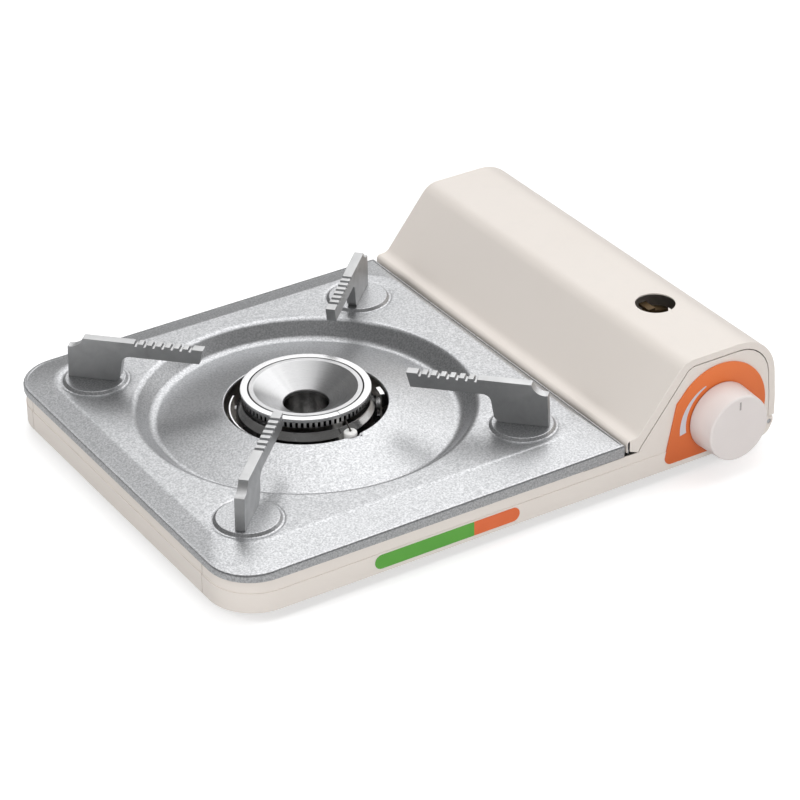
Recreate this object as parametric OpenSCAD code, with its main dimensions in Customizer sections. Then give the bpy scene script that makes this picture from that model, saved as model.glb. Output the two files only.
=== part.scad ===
// Portable gas stove for a lying gas canister, with a pressed top plate, a funnel burner
// and a hinged lid over the canister bay. Sizes are in millimetres. X runs to the right as
// the user stands at the knob, Y to the back and Z up from the table. Every sub-part is
// drawn from the burner's axis on the table, and place() puts the origin under the middle.

/* [Top plate] */
// Width of the pressed top plate
plate_w = 256.5; // [250:0.5:262]
// Depth of the top plate
plate_d = 273.5; // [268:0.5:280]
// Height of the plate's flat field above the table
plate_h = 34; // [33.5:0.25:36]
// Thickness of the plate's steel
plate_t = 0.6; // [0.5:0.1:0.8]
// Distance from the burner's axis to the plate's left edge
burner_from_left = 129.3; // [127:0.1:132]
// Distance from the burner's axis to the plate's front edge
burner_from_front = 142; // [139:0.5:144]
// Outer radius of the two left corners
corner_r = 29; // [24:0.5:32]
// Radius of the corners of the flat field
field_r = 25; // [20:0.5:30]
// Width of the sloping margin at the front
front_margin = 27; // [22:0.5:28]
// Width of the sloping margin at the left and the back
side_margin = 15; // [12:0.5:17]
// Width of the sloping margin beside the lid
lid_margin = 5.5; // [4:0.5:7]
// Drop of the sloping margin to the edge
margin_drop = 2; // [1.5:0.25:2.5]
// Size of the bevel along the plate's edge
edge_bevel = 1.2; // [0.8:0.1:1.5]
// Depth of the skirt below the flat field
skirt_h = 8.5; // [7:0.25:10]

/* [Dish] */
// Radius of the dish at its rim
dish_r = 100; // [97:0.5:102]
// Radius of the lowest ring of the dish
dish_floor_r = 90.4; // [88:0.2:93]
// Depth of the dish
dish_depth = 10.7; // [9:0.1:11]
// Radius of the hole round the burner
dish_hole_r = 48.1; // [47.6:0.1:50]
// Height of the hole's edge above the flat field
hole_rise = 0.2; // [0:0.1:1]
// Radius of the bends of the dish
dish_bend_r = 3; // [2:0.5:4]
// Depth of the turned edge of the hole
hole_lip = 1.6; // [1.2:0.1:2.4]
// Width of the notch for the electrode
notch_w = 9; // [8:0.5:11]
// Depth of the notch for the electrode
notch_d = 2; // [1:0.5:3]

/* [Pan supports] */
// Distance of a pad's centre from the burner's axis along each side
pad_offset = 91.7; // [91:0.1:94]
// Outer radius of a pad
pad_r = 19.8; // [18.6:0.2:21]
// Height of a pad above the flat field
pad_rise = 1.5; // [1:0.25:2]
// Width of a pad's sloping wall
pad_wall = 1.6; // [1:0.2:2.4]
// Thickness of a pan support
support_t = 5.8; // [5:0.2:7]
// Height of the pan supports above the flat field
support_top = 28.3; // [26:0.1:30]
// Height of the underside of a support's arm above the flat field
support_under = 18.9; // [17:0.1:20]
// Distance of the tip from the burner's axis, at the top
tip_reach = 60.6; // [56:0.2:64]
// Length of a support's foot on its pad
support_foot = 29.7; // [26:0.3:31]
// Distance along the arm between two notches
notch_pitch = 5.48; // [5:0.08:5.6]
// Number of notches in a support
notch_count = 7; // [3:1:7]
// Width of a notch at the top
tooth_gap = 2.4; // [1.8:0.1:3]
// Depth of a notch
tooth_depth = 1.8; // [1.2:0.1:2.4]
// Distance from the tip to the first notch
first_notch = 8; // [6:0.5:9]
// Radius of the hollow at the outer top corner
hollow_r = 8.2; // [6:0.2:9]
// Distance between the two screws of a support
support_screws_apart = 14; // [12:0.5:16]

/* [Case] */
// Thickness of the case's sheet steel
sheet_t = 0.8; // [0.6:0.1:1]
// Height of the feet
foot_h = 6.5; // [6.5:0.25:8]
// Radius of a foot
foot_r = 6.5; // [5.5:0.25:7]
// Height of the raised band along the foot of the case
band_h = 12.5; // [11.5:0.5:13.5]
// How far the band stands proud of the wall
band_proud = 0.5; // [0.3:0.1:0.5]
// Distance from the front edge to the front seam on the left wall
front_seam = 36.3; // [33:0.3:40]
// Distance from the rear edge to the rear seam on the left wall
rear_seam = 30.7; // [30:0.3:40]
// Width of the seams
seam_w = 0.5; // [0.3:0.1:0.8]
// Height of the pan's upturned rim
rim_h = 10; // [8:0.5:12]

/* [Lid] */
// Width of the lid over its lip
lid_w = 106.5; // [104:0.5:110]
// Height of the lid's top above the plate's flat field
lid_top = 40.5; // [40.25:0.25:43]
// Gap between the plate and the lid's lip
lid_gap = 1.8; // [1.2:0.1:2.4]
// Depth of the lip beside the plate
lip_h = 7.5; // [6:0.5:9]
// Height of the lid's ledge above the flat field
ledge_rise = 0.8; // [0.6:0.1:1.2]
// Width of the ledge at the foot of the slope
ledge_w = 7.5; // [6:0.5:9]
// Width that the slope takes up
slope_run = 31.8; // [28:0.2:34]
// Radius of the fold between slope and top
fold_r = 14; // [10:0.5:18]
// Radius of the right shoulder
shoulder_r = 27; // [24:0.5:29]
// Lean of the right wall over its height
wall_lean = 3; // [2:0.25:4]
// Height of the right wall's lower edge below the flat field
wall_drop = 15.5; // [14:0.25:16]
// Width of the lid's end flanges
flange_w = 4.4; // [3.6:0.2:5]
// Gap round the end panels inside the flanges
lid_clearance = 0.5; // [0.4:0.1:0.8]
// Distance of the hinge axis from the lid's right wall
hinge_in = 4; // [3.6:0.2:4.4]
// Height of the hinge axis below the flat field
hinge_drop = 19; // [18.5:0.25:19.5]
// Radius of the hinge pins
hinge_r = 1.6; // [1.3:0.1:1.8]
// Radius of the round window
window_r = 12; // [8:0.5:14]
// Distance of the window's middle in front of the burner's axis
window_y = 75; // [60:1:90]

/* [Burner] */
// Outer radius of the flat top ring
ring_r = 38.4; // [37.4:0.2:39.6]
// Height of the top ring above the flat field
burner_rise = 10.1; // [9:0.1:12]
// Thickness of the top ring
cap_ring_t = 2.2; // [1.6:0.1:2.6]
// Radius of the joint between top ring and funnel
funnel_r = 34.8; // [33.5:0.1:35.5]
// Radius of the funnel's inner edge line
funnel_lip_r = 31.8; // [30:0.2:32.4]
// Radius of the funnel's centre hole
throat_r = 13.4; // [11:0.2:15]
// Height of the funnel's foot above the flat field
throat_rise = -0.4; // [-1:0.1:0.5]
// Height of the ring of ports
port_h = 3.7; // [3:0.1:4.2]
// Number of ports
port_count = 72; // [48:4:80]
// Width of a port
port_w = 1.5; // [1.1:0.1:1.7]
// Largest radius of the burner's body
body_r = 41.5; // [40:0.1:42]
// Wall of the burner's casting
body_wall = 2.2; // [1.8:0.1:2.6]
// Outer radius of the mixing tube
tube_r = 6.2; // [5.6:0.1:6.2]
// Wall of the mixing tube
tube_wall = 1.4; // [1.1:0.1:1.6]
// Distance from the burner's axis to the mouth of the mixing tube
tube_reach = 112; // [108:0.5:113]

/* [Canister bay] */
// Radius of the gas canister that the bay takes
canister_r = 33.75; // [33:0.25:33.75]
// Length of the canister's body
canister_len = 182; // [176:1:184]
// Gap under the canister
canister_gap = 0.6; // [0.4:0.1:0.8]
// Distance of the canister's axis from the burner's axis
canister_x = 195.5; // [194:0.25:196]
// Height of the canister's axis above the flat field
canister_rise = 4.5; // [4:0.25:4.75]
// Distance of the canister's seat in front of the burner's axis
seat_y = 66; // [65:0.5:68]

/* [Knob and dial] */
// Distance of the knob's axis from the burner's axis
knob_x = 193.7; // [192.5:0.1:195]
// Height of the knob's axis below the flat field
knob_drop = 1.6; // [1:0.1:2.2]
// Radius of the knob at its front
knob_r = 20.5; // [18:0.25:20.5]
// Radius of the knob at its back
knob_back_r = 21.5; // [19:0.25:21.5]
// Depth of the knob
knob_d = 18.9; // [15:0.1:22]
// Radius of the dial's round part
dial_r = 33.6; // [32:0.2:34]
// Thickness of the dial plate
dial_t = 1; // [0.6:0.1:1.2]
// Outer radius of the white scale
scale_r = 28.5; // [27:0.25:30]
// Turn of the knob from off to ignition, in degrees
knob_turn = 110; // [80:5:110]
// Travel of the igniter's plunger
plunger_travel = 4; // [3:0.25:4]
// Radius of the valve stem
stem_r = 3.95; // [3.5:0.05:4]

/* [Label] */
// Length of the whole label
label_len = 95.5; // [70:0.5:100]
// Share of the label that is green
green_share = 0.68; // [0.5:0.01:0.8]
// Height of the label
label_h = 9; // [7:0.25:9.5]
// Thickness of the label
label_t = 0.3; // [0.2:0.05:0.3]
// Distance of the label's left end from the burner's axis, to the left
label_left = 40.5; // [30:0.5:60]

/* [Hidden] */
$fn = 48;

// How far a cut runs past the face that it opens
cut = 1;
// Height of the thin slices that a hull joins
film = 0.01;
// Number of steps in a rounded bend
bend_steps = 6;
// Radius of a small rounded edge
edge_r = 0.6;
// Gap between pieces that lie against each other, and round a shaft that turns
seat_gap = 0.3;
slip = 0.05;

// Sizes that their neighbours are stated for. A longer mixing tube or canister moves the case's
// wall out, a shorter canister moves its seat back, and the burner's radii follow the top ring
tube_home = 112;
canister_home = 182;
ring_home = 38.4;
tube_grow = max(0, tube_reach - tube_home);
// Least room behind the canister's end, and how far the plate's own depth falls short of it
rear_room = 8.3;
bay_short = -seat_y + canister_home + rear_room - (plate_d - burner_from_front);
bay_grow = max(0, canister_len - canister_home) + max(0, bay_short);
ring_grow = ring_r - ring_home;

// Edges and heights that the sub-parts share
plate_left = -burner_from_left;
plate_right = plate_left + plate_w + tube_grow;
plate_front = -burner_from_front;
plate_rear = plate_front + plate_d + bay_grow;
plate_mid_y = (plate_front + plate_rear) / 2;
panel_in = plate_t + seat_gap;
panel_front = plate_front + panel_in;
panel_inner = panel_front + sheet_t;
rim_front = panel_inner + sheet_t;
panel_rear = plate_rear - panel_in;
rear_inner = panel_rear - sheet_t;
rim_rear = rear_inner - sheet_t;
base_z = foot_h;
floor_z = base_z + sheet_t;
wall_top = plate_h - margin_drop - edge_bevel - plate_t - seat_gap;
band_z = base_z + band_h;

// Places that the lid, the end panels and the hinge share
lid_left = plate_right + lid_gap;
lid_right = lid_left + lid_w;
// Place of the lid's right wall that the axes of canister and knob are stated for
right_home = 235.5;
bay_x = canister_x + lid_right - right_home;
dial_x = knob_x + lid_right - right_home;
ledge_z = plate_h + ledge_rise;
lid_z = plate_h + lid_top;
slope_x = lid_left + ledge_w;
wall_z = plate_h - wall_drop;
hinge_x = lid_right - hinge_in;
hinge_z = plate_h - hinge_drop;
hinge_fit = 0.06;
// Radius of the panel round a hinge pin
hinge_boss_r = 3.1;
// Height up to which the lid's right wall is upright
upright_z = plate_h - 2 * edge_bevel;
lip_r = 2.5;
slope_foot_r = 6;
wall_bend_r = 20;
// Width of the end flange along the slope, and of its tail
slope_flange_w = flange_w + 1.9 * sheet_t;
tail_w = 5;
// Depth of the end panels' inward flange
return_d = 6;
panel_corner_r = 8.5;
panel_corner_in = 2;
base_right = lid_right - panel_corner_r;

// Places that the burner and the gas way share
joint_r = funnel_r + ring_grow;
lip_in_r = funnel_lip_r + ring_grow;
bowl_r = body_r + ring_grow;
hole_r = dish_hole_r + ring_grow;
body_z = floor_z + 2 * sheet_t;
tube_z = body_z + tube_r;
port_z = plate_h + burner_rise - cap_ring_t - port_h;
ring_z = port_z + port_h;
neck_h = 1.8;
throat_top = plate_h + throat_rise - neck_h;
throat_wall = 1.6;
electrode_x = 3;
electrode_gap = 6.6;
electrode_y = -(ring_r + electrode_gap);
ceramic_r = 2.6;
needle_r = 0.55;

// Places that the valve, the regulator and the knob share
knob_z = plate_h - knob_drop;
dial_front = panel_front - dial_t;
knob_gap = 0.5;
knob_back = dial_front - knob_gap;
mark_proud = 0.25;
canister_z = plate_h + canister_rise;
seat_front = -seat_y + max(0, canister_home - canister_len);
partition_in = 2.5;
partition_x = lid_left + partition_in;
bracket_t = 1.2;
bracket_inner = panel_inner + bracket_t;
cam_t = 6;
cam_from_bracket = 5.5;
cam_y = bracket_inner + cam_from_bracket;
cam_r = 9;
plunger_r = 2.5;
igniter_r = 7;
valve_from_cam = 4;
valve_front = cam_y + cam_t + valve_from_cam;
valve_len = 24;
valve_rear = valve_front + valve_len;
pipe_r = 2.5;
pipe_bore = 1.6;
pipe_bend = 10;
pipe_from_partition = 15;
pipe_x = partition_x + pipe_from_partition;
pipe_y = valve_front + valve_len / 2;
valve_w = 14;
valve_left = dial_x - valve_w;

// Colours
steel = [0.72, 0.73, 0.75];
cream = [0.90, 0.86, 0.82];
cast_grey = [0.45, 0.46, 0.47];
bright = [0.85, 0.85, 0.86];
dark_cast = [0.32, 0.33, 0.34];
brass = [0.78, 0.62, 0.32];
orange = [0.90, 0.45, 0.22];

// Vector and outline functions
function unit(v) = v / norm(v);
function to_left(v) = [-v[1], v[0]];
function turn(a, b, c) = sign((b - a)[0] * (c - b)[1] - (b - a)[1] * (c - b)[0]);
function reversed(p) = [for (i = [len(p) - 1:-1:0]) p[i]];
function same(d, p) = [for (i = [1:len(p) - 1]) d];

// Points of the bend at b, between a and c, with radius r
function bend(a, b, c, r) = r <= 0 ? [b] :
    let (u = unit(a - b), w = unit(c - b), half = acos(u * w) / 2,
         mid = b + unit(u + w) * r / sin(half),
         first = b + u * r / tan(half) - mid, last = b + w * r / tan(half) - mid,
         a0 = atan2(first[1], first[0]), a1 = atan2(last[1], last[0]),
         sweep = (a1 - a0 + 540) % 360 - 180)
    [for (i = [0:bend_steps]) mid + r * [cos(a0 + sweep * i / bend_steps),
                                         sin(a0 + sweep * i / bend_steps)]];

// An open path with a bend of radius r[i] at each inner point
function rounded(p, r) = [for (i = [0:len(p) - 1])
    each (i == 0 || i == len(p) - 1 ? [p[i]] : bend(p[i - 1], p[i], p[i + 1], r[i]))];

function side(p, i) = to_left(unit(p[i + 1] - p[i]));

// The path moved to the left of its travel, by d[i] along stretch i
function shifted(p, d) = [for (i = [0:len(p) - 1])
    i == 0 ? p[0] + side(p, 0) * d[0] :
    i == len(p) - 1 ? p[i] + side(p, i - 1) * d[i - 1] :
    let (n = side(p, i - 1), m = side(p, i), c = n * m, k = 1 - c * c)
    p[i] + (d[i - 1] - c * d[i]) / k * n + (d[i] - c * d[i - 1]) / k * m];

function shifted_r(p, r, d) = [for (i = [0:len(p) - 1])
    i == 0 || i == len(p) - 1 ? 0 :
    max(0, r[i] - turn(p[i - 1], p[i], p[i + 1]) * (d[i - 1] + d[i]) / 2)];

// Outline of a sheet of thickness t that follows the path, on the left of its travel
function sheet(p, r, t) = concat(rounded(p, r),
    reversed(rounded(shifted(p, same(t, p)), shifted_r(p, r, same(t, p)))));

// Puts the origin under the middle of the stove
module place() {
    translate([-(plate_left + lid_right) / 2, -(knob_back - knob_d - mark_proud + plate_rear) / 2, 0])
        children();
}

// Extrudes an outline drawn in X and Z along Y
module along_y(y0, y1) {
    translate([0, y1, 0]) rotate([90, 0, 0]) linear_extrude(y1 - y0) children();
}

// Extrudes an outline drawn in Y and Z along X
module along_x(x0, x1) {
    translate([x0, 0, 0]) rotate([90, 0, 90]) linear_extrude(x1 - x0) children();
}

module rod_x(x0, x1, y, z, r) {
    translate([x0, y, z]) rotate([0, 90, 0]) cylinder(h = x1 - x0, r = r);
}

module rod_y(y0, y1, x, z, r) {
    translate([x, y1, z]) rotate([90, 0, 0]) cylinder(h = y1 - y0, r = r);
}

module block(x0, y0, z0, x1, y1, z1) {
    translate([x0, y0, z0]) cube([x1 - x0, y1 - y0, z1 - z0]);
}

// Plan of the plate and case, moved inwards by inset, with round left corners
module plan(inset) {
    r = corner_r - inset;
    x0 = plate_left + inset;
    x1 = plate_right - inset;
    y0 = plate_front + inset;
    y1 = plate_rear - inset;
    translate([x0 + r, y0]) square([x1 - x0 - r, y1 - y0]);
    translate([x0, y0 + r]) square([r, y1 - y0 - 2 * r]);
    for (y = [y0 + r, y1 - r]) translate([x0 + r, y]) circle(r);
}

// Plan of the flat field, moved inwards by inset
module field_plan(inset) {
    r = field_r - inset;
    x0 = plate_left + side_margin + inset;
    x1 = plate_right - lid_margin - inset;
    y0 = plate_front + front_margin + inset;
    y1 = plate_rear - side_margin - inset;
    translate([x0 + r, y0]) square([x1 - x0 - 2 * r, y1 - y0]);
    translate([x0, y0 + r]) square([x1 - x0, y1 - y0 - 2 * r]);
    for (x = [x0 + r, x1 - r], y = [y0 + r, y1 - r]) translate([x, y]) circle(r);
}

// Wall of the case that follows its plan
module wall(inset, t, z0, z1) {
    translate([0, 0, z0]) linear_extrude(z1 - z0) difference() {
        plan(inset);
        plan(inset + t);
    }
}

// Wall with the raised band along its foot
module banded_wall(z1) {
    wall(panel_in, sheet_t, base_z, z1);
    wall(panel_in - band_proud, sheet_t, base_z, band_z);
}

// Places of the four feet, and of the four pads with the angle of each support
foot_margin = 1;
foot_in = 18.5;
right_foot_x = base_right - foot_r - foot_margin;
left_foot_x = plate_left + corner_r;
foot_places = [for (x = [left_foot_x, right_foot_x], y = [plate_front + foot_in, plate_rear - foot_in])
    [x, y]];
pad_places = [for (x = [-1, 1], y = [-1, 1]) [x * pad_offset, y * pad_offset]];

// The round trough under the canister
trough_r = canister_r + canister_gap;
trough_spare = 4;
trough_front = seat_front - trough_spare;
trough_rear = seat_front + canister_len + trough_spare;
trough_half = sqrt(pow(trough_r, 2) - pow(canister_z - floor_z, 2));
foot_stud_r = 2.5;
vent_r = 3;
vent_ring_r = 58;
vent_count = 12;
case_screw_r = 1.6;
case_screw_in = 12;
screw_from_trough = 13;
partition_foot = 10;
screw_columns = [partition_x - partition_foot / 2, bay_x - trough_half - screw_from_trough];
case_screw_places = [for (x = screw_columns, y = [panel_front + case_screw_in, panel_rear - case_screw_in])
    [x, y]];
// Height of the pan's right wall above the hinge axis
side_wall_rise = 6.3;

module base_pan() color(cream) place() difference() {
    union() {
        translate([0, 0, base_z]) linear_extrude(sheet_t) {
            plan(panel_in + sheet_t);
            translate([plate_right - corner_r, panel_inner])
                square([base_right - plate_right + corner_r, rear_inner - panel_inner]);
        }
        intersection() {
            rod_y(trough_front - sheet_t, trough_rear + sheet_t, bay_x, canister_z, trough_r + sheet_t);
            block(bay_x - canister_r, trough_front - sheet_t, 0,
                bay_x + canister_r, trough_rear + sheet_t, floor_z);
        }
    }
    rod_y(trough_front, trough_rear, bay_x, canister_z, trough_r);
    for (p = foot_places) translate([p[0], p[1], 0]) cylinder(h = plate_h, r = foot_stud_r);
    for (p = case_screw_places) translate([p[0], p[1], 0]) cylinder(h = plate_h, r = case_screw_r);
    for (i = [0:vent_count - 1]) rotate(360 / vent_count * (i + 0.5)) translate([vent_ring_r, 0, 0])
        cylinder(h = floor_z + cut, r = vent_r);
    for (a = burner_screw_angles) rotate(a) translate([burner_screw_r, 0, 0])
        cylinder(h = floor_z + cut, r = case_screw_r);
    for (p = bracket_screw_places) translate([p[0], p[1], 0]) cylinder(h = plate_h, r = case_screw_r);
}

// Walls that stand on the edges of the base pan: the left one shows between the two panels
module base_walls() color(cream) place() {
    intersection() {
        banded_wall(wall_top);
        block(plate_left, plate_front + front_seam + seam_w, base_z,
            0, plate_rear - rear_seam - seam_w, plate_h);
    }
    for (y = [panel_inner, rim_rear])
        block(plate_left + corner_r, y, floor_z, base_right, y + sheet_t, base_z + rim_h);
    block(base_right - sheet_t, panel_inner + 2 * sheet_t, floor_z,
        base_right, rear_inner - 2 * sheet_t, hinge_z + side_wall_rise);
}

// Corners of the lid's section from the lip over the top to the right wall
lid_path = [[lid_left, plate_h - lip_h + ledge_rise], [lid_left, ledge_z], [slope_x, ledge_z],
    [slope_x + slope_run, lid_z], [lid_right - wall_lean, lid_z], [lid_right, upright_z],
    [lid_right, wall_z]];
lid_radii = [0, lip_r, slope_foot_r, fold_r, shoulder_r, wall_bend_r, 0];

// Corners of the lid's end flange, which starts with a tail beside the ledge
flange_path = [[slope_x - tail_w * 0.75, plate_h - lip_h + ledge_rise], [slope_x, ledge_z],
    [slope_x + slope_run, lid_z], [lid_right - wall_lean, lid_z], [lid_right, upright_z],
    [lid_right, wall_z]];
flange_radii = [0, slope_foot_r, fold_r, shoulder_r, wall_bend_r, 0];
flange_widths = [tail_w, slope_flange_w, flange_w, flange_w, flange_w];

// The same path further in: d is a distance past the flange's inner edge
function inside_flange(d) = rounded(shifted(flange_path, [for (w = flange_widths) -(w + d)]),
    shifted_r(flange_path, flange_radii, [for (w = flange_widths) -(w + d)]));

// Outline of an end panel's right part, which fills the end of the lid
shoulder_z = plate_h - skirt_h - 0.6 * sheet_t;
panel_right = lid_right - panel_corner_in;
jog_z = wall_z - panel_corner_in * 0.75;
panel_outline = let (arch = inside_flange(lid_clearance), first = arch[0], last = arch[len(arch) - 1])
    concat([[plate_right - corner_r, base_z], [plate_right - corner_r, shoulder_z],
            [first[0], shoulder_z]], [for (q = arch) if (q[1] > shoulder_z && q[1] > jog_z) q],
        [[last[0], jog_z]],
        rounded([[panel_right - sheet_t, jog_z], [panel_right, jog_z], [panel_right, base_z],
            [panel_right - 2 * panel_corner_r, base_z]], [0, sheet_t / 2, panel_corner_r, 0]));

// Strip that the panel's arch folds inwards
return_low = plate_h - 2 * sheet_t;
module return_flange() {
    along_y(panel_front, panel_inner + return_d) intersection() {
        difference() {
            polygon(inside_flange(lid_clearance));
            polygon(inside_flange(lid_clearance + sheet_t));
        }
        translate([slope_x, return_low]) square([lid_w, lid_top]);
    }
}

// One end panel, wrapped round its left corner and filled in under the lid
module end_panel(seam) {
    intersection() {
        banded_wall(wall_top);
        block(plate_left, plate_front, base_z, plate_right - corner_r + cut, plate_front + seam, plate_h);
    }
    along_y(panel_front, panel_inner) polygon(panel_outline);
    along_y(panel_front - band_proud, panel_inner) intersection() {
        polygon(panel_outline);
        translate([plate_right - corner_r, base_z]) square([lid_w + corner_r, band_h]);
    }
    return_flange();
    rod_y(panel_front, panel_inner, hinge_x, hinge_z, hinge_boss_r);
}

module hinge_hole(r) {
    rod_y(panel_front - cut, panel_inner + 4 * sheet_t, hinge_x, hinge_z, r);
}

panel_opening_r = 14;

module front_panel() color(cream) place() difference() {
    end_panel(front_seam);
    rod_y(panel_front - cut, panel_inner + cut, dial_x, knob_z, panel_opening_r);
    hinge_hole(hinge_r);
}

// Air slots at the back of the canister bay
vent_slots = 6;
vent_slot_pitch = 7;
vent_slot_w = 2.5;
vent_slot_h = 16;
module rear_panel() color(cream) place() translate([0, 2 * plate_mid_y, 0]) mirror([0, 1, 0]) difference() {
    end_panel(rear_seam);
    hinge_hole(hinge_r);
    for (i = [0:vent_slots - 1]) translate([bay_x + (i - vent_slots / 2) * vent_slot_pitch, 0, 0])
        block(0, panel_front - cut, knob_z - vent_slot_h / 2,
            vent_slot_w, panel_inner + cut, knob_z + vent_slot_h / 2);
}

// Wall between the burner and the canister bay, with a ledge that the lid rests on
partition_ledge = 5;
heat_w = 40;
heat_t = 0.6;
lead_r = 1;
lead_hole_in = 33;
lead_hole_y = panel_front + lead_hole_in;
lead_z = floor_z + 2.5 * lead_r;
hole_gap = 1;
module bay_partition() color(steel) place() difference() {
    along_y(rim_front, rim_rear) polygon(sheet([[partition_x - partition_foot, floor_z],
        [partition_x, floor_z], [partition_x, ledge_z - 2 * sheet_t - seat_gap],
        [partition_x + partition_ledge, ledge_z - 2 * sheet_t - seat_gap]],
        [0, sheet_t, 0, 0], sheet_t));
    rod_x(partition_x - partition_foot / 2, partition_x + cut, 0, tube_z, pipe_r + hole_gap);
    rod_x(partition_x - partition_foot / 2, partition_x + cut, lead_hole_y, lead_z, lead_r + hole_gap);
    block(partition_x - partition_foot - cut, -heat_w / 2 - seat_gap, floor_z - cut,
        partition_x + cut, heat_w / 2 + seat_gap, floor_z + heat_t + seat_gap);
    for (p = case_screw_places) translate([p[0], p[1], 0]) cylinder(h = plate_h, r = case_screw_r);
}

// Four pushed-in feet
foot_head = 1.2;
module feet() color(cream) place() for (p = foot_places) translate([p[0], p[1], 0]) {
    rotate_extrude() polygon(rounded([[0, 0], [foot_r - edge_r, 0], [foot_r, base_z], [0, base_z]],
        [0, foot_head, 0, 0]));
    cylinder(h = floor_z, r = foot_stud_r);
    translate([0, 0, floor_z]) cylinder(h = foot_head, r = foot_stud_r + foot_head);
}

// A screw with a slotted round head below z and its shank above it
module screw_up(z, shank, shank_r) {
    translate([0, 0, z]) cylinder(h = shank, r = shank_r);
    translate([0, 0, z - 1.1 * shank_r]) difference() {
        cylinder(h = 1.1 * shank_r, r = 1.9 * shank_r);
        translate([-2 * shank_r, -shank_r / 6, -cut]) cube([4 * shank_r, shank_r / 3, cut + shank_r / 2]);
    }
}

module case_screws() color(bright) place() for (p = case_screw_places) translate([p[0], p[1], 0])
    screw_up(base_z, 3 * sheet_t, case_screw_r);

// Rivets that carry the lid, fixed in the end panels
hinge_head = 0.7;
ear_front = panel_inner + seat_gap;
module hinge_pin() {
    rod_y(panel_front, ear_front + sheet_t + seat_gap, hinge_x, hinge_z, hinge_r);
    rod_y(ear_front + sheet_t + seat_gap, ear_front + sheet_t + seat_gap + hinge_head,
        hinge_x, hinge_z, 1.6 * hinge_r);
}

module lid_hinge_pins() color(bright) place() {
    hinge_pin();
    translate([0, 2 * plate_mid_y, 0]) mirror([0, 1, 0]) hinge_pin();
}

// Burner casting: a bulging bowl with a central chimney and the mixing tube
burner_screw_in = 14.4;
burner_screw_r = ring_r - burner_screw_in;
burner_screw_angles = [35, 145, 215, 325];
funnel_t = 0.8;
port_seat_r = joint_r + 3.2 * funnel_t;
bowl_h = port_z - body_z;
bowl_bend_r = 6;
bowl_edge_r = 2;
bowl_shares = [[0.75, 0], [0.94, 0.2], [1, 0.58], [0.983, 0.755]];
bowl_path = concat([[throat_r + throat_wall, body_z]],
    [for (s = bowl_shares) [s[0] * bowl_r, body_z + s[1] * bowl_h]],
    [[port_seat_r, port_z - port_h], [port_seat_r, port_z]]);
bowl_radii = [0, bowl_edge_r, bowl_bend_r, bowl_bend_r, bowl_edge_r, bowl_edge_r, 0];
air_slot = 5;

module burner_body() color(dark_cast) place() difference() {
    union() {
        rotate_extrude() polygon(sheet(bowl_path, bowl_radii, body_wall));
        translate([0, 0, body_z]) cylinder(h = throat_top - body_z, r = throat_r + throat_wall);
        difference() {
            rod_x(throat_r + throat_wall, tube_reach, 0, tube_z, tube_r);
            translate([0, 0, body_z]) cylinder(h = 2 * tube_r, r = bowl_r - 3 * body_wall);
        }
    }
    rod_x(throat_r + throat_wall, tube_reach + cut, 0, tube_z, tube_r - tube_wall);
    translate([0, 0, body_z - cut]) cylinder(h = plate_h, r = throat_r);
    for (a = [0, 90]) translate([tube_reach - 2.2 * air_slot, 0, tube_z]) rotate([a, 0, 0])
        translate([0, -air_slot / 3, -tube_r - cut])
            cube([air_slot, air_slot / 1.5, 2 * tube_r + 2 * cut]);
    for (a = burner_screw_angles) rotate(a) translate([burner_screw_r, 0, body_z - cut])
        cylinder(h = body_wall + cut, r = case_screw_r);
}

// Ring of ports: teeth that stand on a thin ring
port_in = 1.8;
port_step = 0.8;
module burner_port_ring() color(steel) place() difference() {
    translate([0, 0, port_z]) difference() {
        cylinder(h = port_h, r = ring_r - port_step);
        translate([0, 0, -cut]) cylinder(h = port_h + 2 * cut, r = joint_r - port_in);
    }
    for (i = [0:port_count - 1]) rotate(360 / port_count * i)
        translate([joint_r - port_in - cut, -port_w / 2, port_z + port_h / 4])
            cube([ring_r, port_w, port_h]);
}

// Pressed funnel in the middle of the burner
module burner_cone() color(bright) place() rotate_extrude() polygon(sheet([[joint_r, ring_z],
    [joint_r, plate_h + burner_rise], [lip_in_r, plate_h + burner_rise],
    [throat_r, plate_h + throat_rise], [throat_r, throat_top]],
    [0, funnel_t, 2 * funnel_t, funnel_t, 0], funnel_t));

// Flat ring that covers the ports
ring_gap = 0.15;
tick_w = 0.5;
tick_angle = -89;
module burner_cap_ring() color(bright) place() difference() {
    rotate_extrude() polygon(concat([[joint_r + ring_gap, ring_z]], rounded([[ring_r, ring_z],
        [ring_r, plate_h + burner_rise], [joint_r + ring_gap, plate_h + burner_rise]], [0, edge_r, 0])));
    rotate(tick_angle) translate([joint_r, -tick_w / 2, plate_h + burner_rise - tick_w])
        cube([ring_r, tick_w, cut]);
}

// Strap that carries the burner, with a curved band at the left and a lug at the right
strap_in = 4.4;
strap_w = ring_r - strap_in;
strap_gap = 6.8;
strap_r = ring_r + strap_gap;
lug_w = 1.8;
band_drop = 3;
lug_drop = 2;
band_angles = [132, 196];
lug_angles = [-19, -8];
module arc_wall(r, t, a, z0, z1) {
    rotate(a[0]) rotate_extrude(angle = a[1] - a[0]) translate([r - t, z0]) square([t, z1 - z0]);
}

module burner_bracket() color(bright) place() difference() {
    union() {
        intersection() {
            block(-strap_r, -strap_w / 2, floor_z, strap_r, strap_w / 2, body_z);
            cylinder(h = plate_h, r = strap_r - sheet_t / 2);
        }
        arc_wall(strap_r, sheet_t, band_angles, body_z - sheet_t, plate_h - band_drop);
        arc_wall(strap_r, sheet_t, lug_angles, body_z - sheet_t, plate_h - lug_drop);
        arc_wall(strap_r + lug_w, lug_w + sheet_t / 2, lug_angles, plate_h - lug_drop - sheet_t,
            plate_h - lug_drop);
    }
    for (a = burner_screw_angles) rotate(a) translate([burner_screw_r, 0, 0])
        cylinder(h = plate_h, r = case_screw_r);
}

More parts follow.
